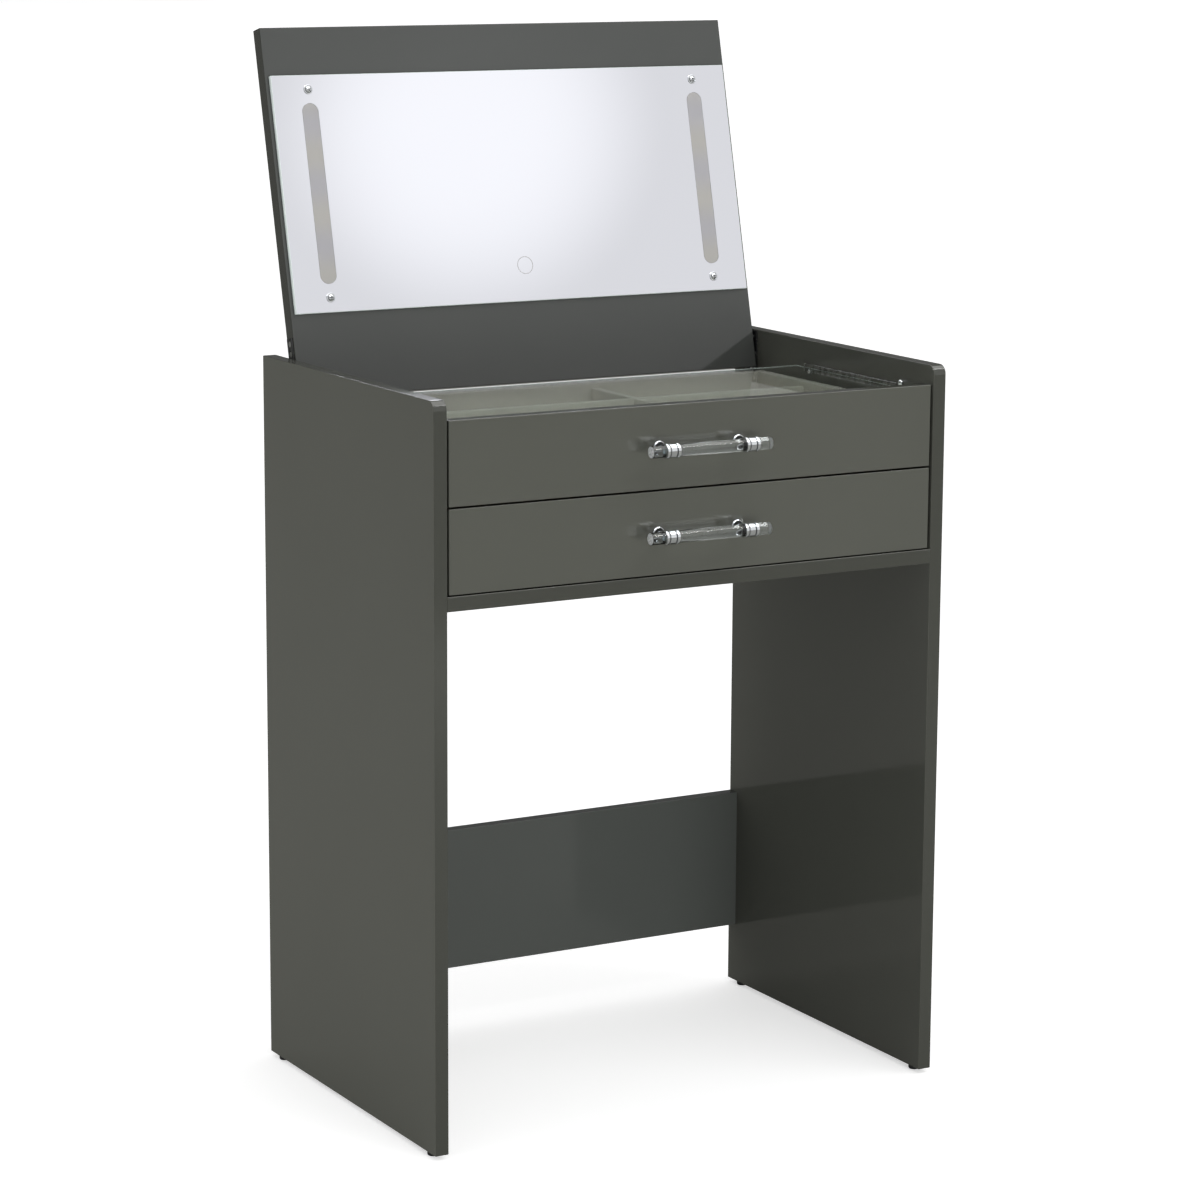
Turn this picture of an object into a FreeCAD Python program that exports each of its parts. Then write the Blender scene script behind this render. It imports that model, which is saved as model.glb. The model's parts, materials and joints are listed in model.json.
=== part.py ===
import FreeCAD, Part

import os

import Sketcher

# Vanity table: two side panels carry a shelf with two drawers, a glass plate above them and a lid that
# turns between the panels on two side pivots and carries a lit mirror. Millimetres and degrees.
# +X is to the right, +Y to the back, +Z up; the origin is on the floor under the middle of the whole.

SHEET = "Dims"

DIMENSIONS = {
    # case
    "case_width": 600, "case_depth": 395, "side_height": 765, "board": 15, "corner_radius": 10,
    "edge_radius": 0.8, "overshoot": 1, "foot_height": 5, "foot_diameter": 12, "foot_inset": 20,
    "nail_diameter": 2.4, "nail_length": 14,
    "shelf_underside": 561, "modesty_bottom": 72.5, "modesty_height": 158, "modesty_inset": 0.5,
    "back_thickness": 5, "back_height": 135, "back_inset": 10,
    # knock-down fittings
    "cam_diameter": 15, "cam_depth": 12, "cam_setback": 34, "bolt_diameter": 6.4, "bolt_bite": 11,
    "fitting_inset": 60, "fitting_rise": 32, "bore_slack": 0.1,
    # glass plate and what holds it
    "glass_thickness": 4, "glass_drop": 10, "glass_front": 40, "glass_depth": 224, "glass_gap": 0.5,
    "pin_diameter": 5, "pin_reach": 8, "pin_bite": 8, "pin_inset": 34,
    "bead_width": 3, "bead_height": 4.2, "bead_front": 62, "bead_length": 185,
    "stud_diameter": 6.4, "stud_reach": 5, "stud_bite": 8, "stud_shank": 3, "stud_rise": 5.5,
    "stud_lead": 4.4,
    # drawers
    "front_height": 85.4, "front_setback": 1.5, "reveal": 2, "side_reveal": 2.6, "shelf_reveal": 1.2,
    "box_depth": 300, "box_height": 54,
    "box_lift": 7, "box_board": 12, "groove_depth": 6, "groove_lift": 10, "bottom_thickness": 3,
    "bottom_play": 0.5, "groove_play": 0.2, "divider_thickness": 9, "divider_drop": 5, "cross_divider_y": 212,
    "long_divider_x": 47.5, "notch_play": 0.2,
    # handles
    "bar_diameter": 12.5, "bar_length": 140, "handle_standoff": 25.5, "post_spacing": 93,
    "stem_diameter": 7.5, "flange_diameter": 14.4, "flange_thickness": 3, "ring_wall": 1.75,
    "band_wall": 0.95, "collar_width": 15.6, "ring_width": 3.4, "handle_screw_diameter": 4,
    "handle_screw_bite": 9, "screw_head_diameter": 8, "screw_head_height": 2.4,
    # slides
    "slide_space": 12.7, "slide_length": 300, "slide_start": 22, "outer_height": 35, "outer_reach": 9.5,
    "steel": 1.2, "inner_height": 24, "inner_reach": 8.5, "cage_gap": 2.9, "cage_steel": 0.8,
    "cage_reach": 6.1, "cage_length": 70, "cage_start": 115, "ball_diameter": 3.7, "ball_x": 7,
    "ball_pitch": 14, "balls_per_row": 5, "slide_screw_inset": 35, "slide_screw_diameter": 3,
    "slide_screw_head": 6,
    "slide_screw_bite": 11,
    # lid
    "lid_length": 391.5, "lid_thickness": 17, "lid_lean": 13.5, "lid_gap": 3.6, "lid_clearance": 2,
    "lid_rear_gap": 1.5, "pivot_inset": 34,
    "mirror_width": 554.5, "mirror_height": 252, "mirror_lift": 87.8, "mirror_thickness": 5,
    "slot_width": 19, "slot_length": 192, "slot_spread": 471, "slot_depth": 9, "strip_width": 10,
    "strip_thickness": 1.6, "diffuser_thickness": 3, "part_play": 0.3, "cap_margin": 15.5,
    "cap_diameter": 10, "cap_height": 2.6, "cap_hole": 5, "cap_shank": 4, "cap_bite": 10,
    "touch_lift": 39, "touch_size": 22, "touch_thickness": 6, "touch_depth": 8, "wire_channel": 5,
    "wire_diameter": 3, "inlet_diameter": 8, "inlet_length": 9, "inlet_drop": 24,
    "socket_diameter": 5.5, "socket_depth": 7,
    # lid hinges
    "hinge_steel": 1.2, "plate_width": 24, "plate_top": 8, "plate_bottom": 40, "hinge_pin_diameter": 6,
    "pin_end": 6, "running_clearance": 0.05, "lid_plate_width": 12, "lid_plate_low": 26,
    "lid_plate_high": 30, "stop_drop": 20.7, "stop_diameter": 4, "stop_reach": 1, "stop_gap": 0.3,
    "lug_width": 4, "lug_height": 10, "lug_reach": 1, "hinge_screw_head": 6, "hinge_screw_diameter": 3,
    "hinge_screw_bite": 11, "case_screw_near": 13, "case_screw_far": 33, "lid_screw_near": 13,
    "lid_screw_far": 24,
}

# Places worked out from the driving dimensions, as expressions on the sheet.
LEAN = f"({SHEET}.lid_lean * 1 deg)"
HALF = "(Dims.case_width / 2)"
INNER = "(Dims.case_width / 2 - Dims.board)"
BAND = "(Dims.bar_diameter + 2 * Dims.band_wall)"
RING = "(Dims.bar_diameter + 2 * Dims.ring_wall)"
FRONT_REACH = f"(Dims.handle_standoff + {RING} / 2 - Dims.front_setback)"
REAR_REACH = ("(Dims.case_depth - Dims.lid_rear_gap - Dims.pivot_inset"
              f" + Dims.lid_thickness / 2 * cos{LEAN}"
              f" + (Dims.lid_length - Dims.pivot_inset) * sin{LEAN})")
CASE_Y = f"(({FRONT_REACH} - {REAR_REACH}) / 2)"
SHELF_TOP = "(Dims.shelf_underside + Dims.board)"
LOWER_Z = f"({SHELF_TOP} + Dims.shelf_reveal)"
UPPER_Z = f"({LOWER_Z} + Dims.front_height + Dims.reveal)"
FRONTS_TOP = f"({UPPER_Z} + Dims.front_height)"
GLASS_TOP = f"({FRONTS_TOP} - Dims.glass_drop)"
GLASS_BASE = f"({GLASS_TOP} - Dims.glass_thickness)"
PIVOT_Y = f"({CASE_Y} + Dims.case_depth - Dims.lid_rear_gap - Dims.pivot_inset)"
PIVOT_Z = f"({FRONTS_TOP} + Dims.lid_clearance + Dims.lid_thickness / 2)"
MODESTY_Y = "(Dims.case_depth - Dims.modesty_inset - Dims.board)"
BOX_Y = f"({CASE_Y} + Dims.front_setback + Dims.board)"
BOX_X = f"({INNER} - Dims.slide_space)"
BOX_INSIDE_X = f"({BOX_X} - Dims.box_board)"
STUD_Y = "(Dims.bead_front - Dims.stud_lead)"
LID_HALF = f"({INNER} - Dims.lid_gap)"
LID_FACE = "(-Dims.lid_thickness / 2)"
LID_FOOT = "(-Dims.pivot_inset)"
MIRROR_Z = f"({LID_FOOT} + Dims.mirror_lift)"
TOUCH_Z = f"({MIRROR_Z} + Dims.touch_lift)"
SLOT_X = "(Dims.slot_spread / 2)"
SLOT_Z = f"({MIRROR_Z} + (Dims.mirror_height - Dims.slot_length) / 2)"
STOP_Y = f"(-Dims.stop_drop * sin{LEAN})"
STOP_Z = f"(-Dims.stop_drop * cos{LEAN})"

SIDES = (("left", -1), ("right", 1))
TURN = {
    "x": FreeCAD.Rotation(FreeCAD.Vector(0, 1, 0), 90),
    "y": FreeCAD.Rotation(FreeCAD.Vector(1, 0, 0), -90),
    "z": FreeCAD.Rotation(),
}


# ---- tools of the document -------------------------------------------------------------------------

def fill_sheet(doc):
    """Writes the driving dimensions to the sheet, one aliased cell each."""
    sheet = doc.addObject("Spreadsheet::Sheet", SHEET)
    for row, (alias, size) in enumerate(DIMENSIONS.items(), start=1):
        sheet.set(f"A{row}", alias)
        sheet.set(f"B{row}", str(size))
        sheet.setAlias(f"B{row}", alias)
    doc.recompute()


def number(doc, expression):
    """The present value of an expression on the sheet."""
    result = doc.getObject(SHEET).evalExpression(expression)
    return float(getattr(result, "Value", result))


def put(thing, place):
    """Binds the three coordinates of a thing's place."""
    for axis, expression in zip("xyz", place):
        thing.setExpression(f"Placement.Base.{axis}", expression)
    return thing


def mirrored(sign, low, size):
    """The lower x of a piece whose x runs from low outwards by size, on the side that sign names."""
    return low if sign > 0 else f"(-({low}) - {size})"


def put_on_lid(thing):
    """Gives a thing that is drawn about the pivot line the place and the lean of the open lid."""
    turn = FreeCAD.Rotation(FreeCAD.Vector(-1, 0, 0), DIMENSIONS["lid_lean"])
    thing.Placement = FreeCAD.Placement(FreeCAD.Vector(), turn)
    thing.setExpression("Placement.Rotation.Angle", LEAN)
    return put(thing, ("0", PIVOT_Y, PIVOT_Z))


def sketch_on(body, role, offset):
    """A sketch on one of the body's own origin planes, moved along the plane's normal by offset."""
    plane = next(item for item in body.Origin.OriginFeatures if item.Role == role)
    sketch = body.newObject("Sketcher::SketchObject", f"{body.Name}_sketch")
    sketch.AttachmentSupport = (plane, [""])
    sketch.MapMode = "FlatFace"
    sketch.setExpression("AttachmentOffset.Base.z", offset)
    return sketch


def hold(sketch, kind, geometry, expression):
    """Adds a driving dimension to a sketch and binds it."""
    first = number(sketch.Document, expression)
    index = sketch.addConstraint(Sketcher.Constraint(kind, *geometry, first))
    sketch.setExpression(f"Constraints[{index}]", expression)


def add_rectangle(sketch, low, size):
    """An upright rectangle from its lower left corner, with a bound width and height."""
    doc = sketch.Document
    left, bottom = (number(doc, item) for item in low)
    width, height = (number(doc, item) for item in size)
    right, top = left + width, bottom + height
    corners = [(left, bottom), (right, bottom), (right, top), (left, top)]
    points = [FreeCAD.Vector(x, y, 0) for x, y in corners]
    first = sketch.GeometryCount
    for index in range(4):
        sketch.addGeometry(Part.LineSegment(points[index], points[(index + 1) % 4]), False)
    for index in range(4):
        following = first + (index + 1) % 4
        sketch.addConstraint(Sketcher.Constraint("Coincident", first + index, 2, following, 1))
    for index, kind in enumerate(("Horizontal", "Vertical", "Horizontal", "Vertical")):
        sketch.addConstraint(Sketcher.Constraint(kind, first + index))
    hold(sketch, "DistanceX", (-1, 1, first, 1), low[0])
    hold(sketch, "DistanceY", (-1, 1, first, 1), low[1])
    hold(sketch, "DistanceX", (first, 1, first, 2), size[0])
    hold(sketch, "DistanceY", (first + 1, 1, first + 1, 2), size[1])


def add_circle(sketch, centre, diameter):
    """A circle with a bound centre and diameter."""
    doc = sketch.Document
    middle = FreeCAD.Vector(number(doc, centre[0]), number(doc, centre[1]), 0)
    radius = number(doc, diameter) / 2
    index = sketch.addGeometry(Part.Circle(middle, FreeCAD.Vector(0, 0, 1), radius), False)
    hold(sketch, "DistanceX", (-1, 1, index, 3), centre[0])
    hold(sketch, "DistanceY", (-1, 1, index, 3), centre[1])
    hold(sketch, "Diameter", (index,), diameter)


def pad_board(doc, name, low, size):
    """A board padded from a rectangle; low and size are in the body's own axes."""
    body = doc.addObject("PartDesign::Body", name)
    sketch = sketch_on(body, "XY_Plane", low[2])
    add_rectangle(sketch, low[:2], size[:2])
    pad = body.newObject("PartDesign::Pad", f"{name}_pad")
    pad.Profile = sketch
    pad.setExpression("Length", size[2])
    doc.recompute()
    return body


def cut_pocket(body, sketch, depth, forward):
    """Pockets a sketch by depth, along the sketch's normal when forward, and proves that it cut."""
    doc = body.Document
    before = body.Shape.Volume
    pocket = body.newObject("PartDesign::Pocket", f"{body.Name}_pocket")
    pocket.Profile = sketch
    pocket.Reversed = forward
    pocket.setExpression("Length", depth)
    doc.recompute()
    if before - body.Shape.Volume < 1:
        raise ValueError(f"{pocket.Name} cuts nothing")


def bore(body, role, offset, centres, diameter, depth, forward):
    """Bores round holes from a plane that lies offset from the body's own origin plane."""
    sketch = sketch_on(body, role, offset)
    for centre in centres:
        add_circle(sketch, centre, diameter)
    cut_pocket(body, sketch, depth, forward)


def mill(body, role, offset, low, size, depth, forward):
    """Mills a rectangular recess from a plane that lies offset from the body's own origin plane."""
    sketch = sketch_on(body, role, offset)
    add_rectangle(sketch, low, size)
    cut_pocket(body, sketch, depth, forward)


def ease(body, radius, wanted):
    """Rounds the straight edges of a body whose middle point passes the test."""
    tip = body.Tip
    names = [f"Edge{index}" for index, edge in enumerate(tip.Shape.Edges, start=1)
             if wanted(edge.CenterOfMass, edge)]
    fillet = body.newObject("PartDesign::Fillet", f"{body.Name}_rounding")
    fillet.Base = (tip, names)
    fillet.setExpression("Radius", radius)
    body.Document.recompute()


def ease_all(body, radius):
    """Rounds every edge of a body."""
    ease(body, radius, lambda middle, edge: True)


def box(doc, name, low, size):
    """A block from its lowest corner."""
    block = doc.addObject("Part::Box", name)
    for path, expression in zip(("Length", "Width", "Height"), size):
        block.setExpression(path, expression)
    return put(block, low)


def rod(doc, name, start, axis, diameter, length):
    """A round bar that runs from start along an axis."""
    bar = doc.addObject("Part::Cylinder", name)
    bar.setExpression("Radius", f"{diameter} / 2")
    bar.setExpression("Height", length)
    bar.Placement = FreeCAD.Placement(FreeCAD.Vector(), TURN[axis])
    return put(bar, start)


def fuse(doc, name, pieces):
    """Several touching solids as one."""
    whole = doc.addObject("Part::MultiFuse", name)
    whole.Shapes = pieces
    return whole


def cut(doc, name, base, tools):
    """A solid with other solids taken out of it."""
    tool = tools[0] if len(tools) == 1 else fuse(doc, f"{name}_tools", tools)
    result = doc.addObject("Part::Cut", name)
    result.Base = base
    result.Tool = tool
    return result


def group(doc, name, pieces):
    """Separate solids of one kind as one sub-part."""
    whole = doc.addObject("Part::Compound", name)
    whole.Links = pieces
    return whole


def inward_rod(doc, name, sign, face, place, diameter, bite, reach):
    """A round bar on the inner side of a panel: bite deep in the board and reach out of it."""
    start = mirrored(sign, f"{face} - {reach}", f"({bite} + {reach})")
    return rod(doc, name, (start, *place), "x", diameter, f"{bite} + {reach}")


# ---- case ------------------------------------------------------------------------------------------

def shelf_fitting_ys():
    """Distances of the shelf's fittings from the front of the case."""
    return ("Dims.fitting_inset", "(Dims.case_depth - Dims.fitting_inset)")


def modesty_fitting_zs():
    """Heights of the modesty panel's fittings above the floor."""
    low = "(Dims.modesty_bottom + Dims.fitting_rise)"
    return (low, "(Dims.modesty_bottom + Dims.modesty_height - Dims.fitting_rise)")


def slide_zs():
    """Height of the middle of the slides of the upper and of the lower drawer."""
    middle = "Dims.box_lift + Dims.box_height / 2"
    return {"upper": f"({UPPER_Z} + {middle})", "lower": f"({LOWER_Z} + {middle})"}


def slide_screw_ys():
    """Distances of a slide's two screws from the front of the case."""
    first = "(Dims.slide_start + Dims.slide_screw_inset)"
    return (first, "(Dims.slide_start + Dims.slide_length - Dims.slide_screw_inset)")


def side_panel(doc, label, sign):
    """A full-height side panel with a rounded top front corner and the bores of its fittings."""
    size = ("Dims.board", "Dims.case_depth", "Dims.side_height")
    panel = pad_board(doc, f"{label}_side_panel", ("0", "0", "0"), size)
    put(panel, (mirrored(sign, INNER, "Dims.board"), CASE_Y, "Dims.foot_height"))
    height = number(doc, "Dims.side_height")
    ease(panel, "Dims.corner_radius", lambda middle, edge: middle.y < 1 and middle.z > height - 1
         and abs(edge.Length - number(doc, "Dims.board")) < 1e-6)
    ease_all(panel, "Dims.edge_radius")
    face = "Dims.board" if sign < 0 else "0"

    def drill(places, diameter, depth):
        centres = [(y, f"({z} - Dims.foot_height)") for y, z in places]
        bore(panel, "YZ_Plane", face, centres, f"{diameter} + Dims.bore_slack", depth, sign > 0)

    bolts = [(y, "(Dims.shelf_underside + Dims.board / 2)") for y in shelf_fitting_ys()]
    bolts += [(f"({MODESTY_Y} + Dims.board / 2)", z) for z in modesty_fitting_zs()]
    drill(bolts, "Dims.bolt_diameter", "Dims.bolt_bite")
    drill(glass_pin_places(), "Dims.pin_diameter", "Dims.pin_bite")
    drill([(STUD_Y, f"({GLASS_TOP} + Dims.stud_rise)")], "Dims.stud_shank", "Dims.stud_bite")
    pivot_y = f"({PIVOT_Y} - {CASE_Y})"
    drill([(pivot_y, PIVOT_Z)], "Dims.hinge_pin_diameter", "Dims.pin_end")
    hinge = [(pivot_y, f"({PIVOT_Z} - {drop})") for drop in ("Dims.case_screw_near", "Dims.case_screw_far")]
    drill(hinge, "Dims.hinge_screw_diameter", "Dims.hinge_screw_bite")
    slides = [(y, z) for y in slide_screw_ys() for z in slide_zs().values()]
    drill(slides, "Dims.slide_screw_diameter", "Dims.slide_screw_bite")
    nails = [("Dims.board / 2", y) for y in ("Dims.foot_inset", "(Dims.case_depth - Dims.foot_inset)")]
    bore(panel, "XY_Plane", "0", nails, "Dims.nail_diameter + Dims.bore_slack", "Dims.nail_length", True)
    return panel


def bottom_shelf(doc):
    """The board under the drawers, with cam bores in its underside and bolt bores in its ends."""
    width = f"(2 * {INNER})"
    shelf = pad_board(doc, "bottom_shelf", ("0", "0", "0"), (width, "Dims.case_depth", "Dims.board"))
    put(shelf, (f"-{INNER}", CASE_Y, "Dims.shelf_underside"))
    ease(shelf, "Dims.edge_radius", lambda middle, edge: middle.y < 1e-6 and edge.Length > 100)
    xs = ("Dims.cam_setback", f"({width} - Dims.cam_setback)")
    cams = [(x, y) for x in xs for y in shelf_fitting_ys()]
    bore(shelf, "XY_Plane", "0", cams, "Dims.cam_diameter + Dims.bore_slack", "Dims.cam_depth", True)
    bolts = [(y, "Dims.board / 2") for y in shelf_fitting_ys()]
    size = ("Dims.bolt_diameter + Dims.bore_slack", "Dims.cam_setback")
    bore(shelf, "YZ_Plane", "0", bolts, *size, True)
    bore(shelf, "YZ_Plane", width, bolts, *size, False)
    return shelf


def modesty_panel(doc):
    """The low rear board between the side panels, with its fittings in the back face."""
    width = f"(2 * {INNER})"
    size = (width, "Dims.board", "Dims.modesty_height")
    panel = pad_board(doc, "modesty_panel", ("0", "0", "0"), size)
    put(panel, (f"-{INNER}", f"({CASE_Y} + {MODESTY_Y})", "Dims.modesty_bottom"))
    ease(panel, "Dims.edge_radius", lambda middle, edge: edge.Length > 200)
    rises = [f"({z} - Dims.modesty_bottom)" for z in modesty_fitting_zs()]
    cams = [(x, z) for x in ("Dims.cam_setback", f"({width} - Dims.cam_setback)") for z in rises]
    bore(panel, "XZ_Plane", "-Dims.board", cams, "Dims.cam_diameter + Dims.bore_slack", "Dims.cam_depth",
         True)
    bolts = [("Dims.board / 2", z) for z in rises]
    size = ("Dims.bolt_diameter + Dims.bore_slack", "Dims.cam_setback")
    bore(panel, "YZ_Plane", "0", bolts, *size, True)
    bore(panel, "YZ_Plane", width, bolts, *size, False)
    return panel


def case_back_panel(doc):
    """The thin board that closes the case behind the drawers."""
    size = (f"(2 * {INNER})", "Dims.back_thickness", "Dims.back_height")
    panel = pad_board(doc, "case_back_panel", ("0", "0", "0"), size)
    back_y = f"({CASE_Y} + Dims.case_depth - Dims.back_inset - Dims.back_thickness)"
    return put(panel, (f"-{INNER}", back_y, SHELF_TOP))


def foot_glides(doc):
    """Four nailed-on glides under the ends of the side panels."""
    feet = []
    for label, sign in SIDES:
        x = f"({sign} * ({HALF} - Dims.board / 2))"
        for end, y in (("front", "Dims.foot_inset"), ("rear", "(Dims.case_depth - Dims.foot_inset)")):
            name = f"{end}_{label}_glide"
            place = (x, f"({CASE_Y} + {y})")
            pad = rod(doc, f"{name}_pad", (*place, "0"), "z", "Dims.foot_diameter", "Dims.foot_height")
            nail = rod(doc, f"{name}_nail", (*place, "Dims.foot_height"), "z", "Dims.nail_diameter",
                       "Dims.nail_length")
            feet.append(fuse(doc, name, [pad, nail]))
    return group(doc, "foot_glides", feet)


def cam_fittings(doc):
    """The cams in the boards and the bolts that run from the side panels to them."""
    cams = []
    bolts = []
    reach = "(Dims.cam_setback - Dims.cam_diameter / 2 - Dims.bore_slack)"
    for label, sign in SIDES:
        x = f"({sign} * ({INNER} - Dims.cam_setback))"
        for index, y in enumerate(shelf_fitting_ys()):
            place = (f"({CASE_Y} + {y})", "(Dims.shelf_underside + Dims.board / 2)")
            cams.append(rod(doc, f"{label}_shelf_cam_{index}", (x, place[0], "Dims.shelf_underside"), "z",
                            "Dims.cam_diameter", "(Dims.cam_depth - Dims.bore_slack)"))
            bolts.append(inward_rod(doc, f"{label}_shelf_bolt_{index}", sign, INNER, place,
                                    "Dims.bolt_diameter", "Dims.bolt_bite", reach))
        for index, z in enumerate(modesty_fitting_zs()):
            place = (f"({CASE_Y} + {MODESTY_Y} + Dims.board / 2)", z)
            start = (x, f"({CASE_Y} + {MODESTY_Y} + Dims.board - Dims.cam_depth + Dims.bore_slack)", z)
            cams.append(rod(doc, f"{label}_modesty_cam_{index}", start, "y", "Dims.cam_diameter",
                            "(Dims.cam_depth - Dims.bore_slack)"))
            bolts.append(inward_rod(doc, f"{label}_modesty_bolt_{index}", sign, INNER, place,
                                    "Dims.bolt_diameter", "Dims.bolt_bite", reach))
    return [group(doc, "cam_locks", cams), group(doc, "cam_bolts", bolts)]


# ---- glass plate -----------------------------------------------------------------------------------

def glass_pin_places():
    """Distances from the front of the case and heights of one side's two glass pins."""
    height = f"({GLASS_BASE} - Dims.pin_diameter / 2)"
    return [("(Dims.glass_front + Dims.pin_inset)", height),
            ("(Dims.glass_front + Dims.glass_depth - Dims.pin_inset)", height)]


def glass_top(doc):
    """The glass plate over the upper drawer, with ground edges."""
    half = f"({INNER} - Dims.glass_gap)"
    size = (f"(2 * {half})", "Dims.glass_depth", "Dims.glass_thickness")
    plate = pad_board(doc, "glass_top", ("0", "0", "0"), size)
    ease_all(plate, "Dims.edge_radius")
    return put(plate, (f"-{half}", f"({CASE_Y} + Dims.glass_front)", GLASS_BASE))


def glass_holders(doc):
    """Pins under the plate, beads over its side edges and a bright stud ahead of each bead."""
    pins = []
    beads = []
    studs = []
    for label, sign in SIDES:
        for index, (y, z) in enumerate(glass_pin_places()):
            pins.append(inward_rod(doc, f"{label}_glass_pin_{index}", sign, INNER, (f"({CASE_Y} + {y})", z),
                                   "Dims.pin_diameter", "Dims.pin_bite", "Dims.pin_reach"))
        low = (mirrored(sign, f"({INNER} - Dims.bead_width)", "Dims.bead_width"),
               f"({CASE_Y} + Dims.bead_front)", GLASS_TOP)
        bead = ("Dims.bead_width", "Dims.bead_length", "Dims.bead_height")
        beads.append(box(doc, f"{label}_bead", low, bead))
        place = (f"({CASE_Y} + {STUD_Y})", f"({GLASS_TOP} + Dims.stud_rise)")
        shank = inward_rod(doc, f"{label}_stud_shank", sign, INNER, place, "Dims.stud_shank",
                           "Dims.stud_bite", "Dims.overshoot")
        head = inward_rod(doc, f"{label}_stud_head", sign, INNER, place, "Dims.stud_diameter", "0",
                          "Dims.stud_reach")
        studs.append(fuse(doc, f"{label}_stud", [shank, head]))
    return [group(doc, "glass_support_pins", pins), group(doc, "glass_retaining_beads", beads),
            group(doc, "glass_bead_studs", studs)]


# ---- slides ----------------------------------------------------------------------------------------

def channel(doc, name, sign, web_x, flange_x, reach, height, start_y, length, z, steel):
    """A steel channel along Y: an upright web and two flanges; x values count from the middle outwards."""
    web = box(doc, f"{name}_web", (mirrored(sign, web_x, steel), start_y, f"({z} - {height} / 2)"),
              (steel, length, height))
    pieces = [web]
    for end, flange_z in (("low", f"({z} - {height} / 2)"), ("high", f"({z} + {height} / 2 - {steel})")):
        low = (mirrored(sign, flange_x, reach), start_y, flange_z)
        pieces.append(box(doc, f"{name}_{end}_flange", low, (reach, length, steel)))
    return pieces


def slide_outer(doc, label, side, sign, z):
    """The slide member that is screwed to the side panel."""
    name = f"{label}_{side}_slide_outer"
    start = f"({CASE_Y} + Dims.slide_start)"
    pieces = channel(doc, f"{name}_steel", sign, f"({INNER} - Dims.steel)", f"({INNER} - Dims.outer_reach)",
                     "Dims.outer_reach", "Dims.outer_height", start, "Dims.slide_length", z, "Dims.steel")
    holes = [inward_rod(doc, f"{name}_hole_{index}", sign, INNER, (f"({CASE_Y} + {y})", z),
                        "(Dims.slide_screw_diameter + Dims.bore_slack)", "Dims.overshoot",
                        "(Dims.steel + Dims.overshoot)")
             for index, y in enumerate(slide_screw_ys())]
    return cut(doc, name, fuse(doc, f"{name}_channel", pieces), holes)


def slide_inner(doc, label, side, sign, z):
    """The slide member on the drawer's side."""
    name = f"{label}_{side}_slide_inner"
    start = f"({CASE_Y} + Dims.slide_start)"
    pieces = channel(doc, f"{name}_steel", sign, BOX_X, BOX_X, "Dims.inner_reach", "Dims.inner_height",
                     start, "Dims.slide_length", z, "Dims.steel")
    return fuse(doc, name, pieces)


def slide_retainers(doc, label, z):
    """The two cages of a drawer's slides, each with two rows of balls."""
    pieces = []
    start = f"({CASE_Y} + Dims.slide_start + Dims.cage_start)"
    ball_rise = "((Dims.outer_height / 2 - Dims.steel + Dims.inner_height / 2) / 2)"
    height = f"(2 * {ball_rise} + Dims.cage_steel)"
    for side, sign in SIDES:
        name = f"{label}_{side}_cage"
        web_x = f"({INNER} - Dims.cage_gap - Dims.cage_steel)"
        flange_x = f"({INNER} - Dims.cage_gap - Dims.cage_reach)"
        steel = channel(doc, name, sign, web_x, flange_x, "Dims.cage_reach", height, start,
                        "Dims.cage_length", z, "Dims.cage_steel")
        holes = []
        for row, rise in (("low", f"-{ball_rise}"), ("high", ball_rise)):
            for index in range(int(number(doc, "Dims.balls_per_row"))):
                along = f"({index} - (Dims.balls_per_row - 1) / 2) * Dims.ball_pitch"
                y = f"({start} + Dims.cage_length / 2 + {along})"
                place = (f"({sign} * ({INNER} - Dims.ball_x))", y, f"({z} + {rise})")
                ball = doc.addObject("Part::Sphere", f"{name}_{row}_ball_{index}")
                ball.setExpression("Radius", "Dims.ball_diameter / 2")
                pieces.append(put(ball, place))
                below = (place[0], y, f"({z} + {rise} - Dims.cage_steel)")
                holes.append(rod(doc, f"{name}_{row}_seat_{index}", below, "z",
                                 "(Dims.ball_diameter + Dims.notch_play)", "(2 * Dims.cage_steel)"))
        pieces.append(cut(doc, f"{name}_strip", fuse(doc, f"{name}_steel", steel), holes))
    return group(doc, f"{label}_slide_retainers", pieces)


def slide_screws(doc):
    """The screws of all four outer members."""
    screws = []
    for label, z in slide_zs().items():
        for side, sign in SIDES:
            for index, y in enumerate(slide_screw_ys()):
                name = f"{label}_{side}_slide_screw_{index}"
                place = (f"({CASE_Y} + {y})", z)
                shank = inward_rod(doc, f"{name}_shank", sign, INNER, place, "Dims.slide_screw_diameter",
                                   "Dims.slide_screw_bite", "Dims.steel")
                head = inward_rod(doc, f"{name}_head", sign, f"({INNER} - Dims.steel)", place,
                                  "Dims.slide_screw_head", "0", "Dims.steel")
                screws.append(fuse(doc, name, [shank, head]))
    return group(doc, "slide_screws", screws)


# ---- drawers ---------------------------------------------------------------------------------------

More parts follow.
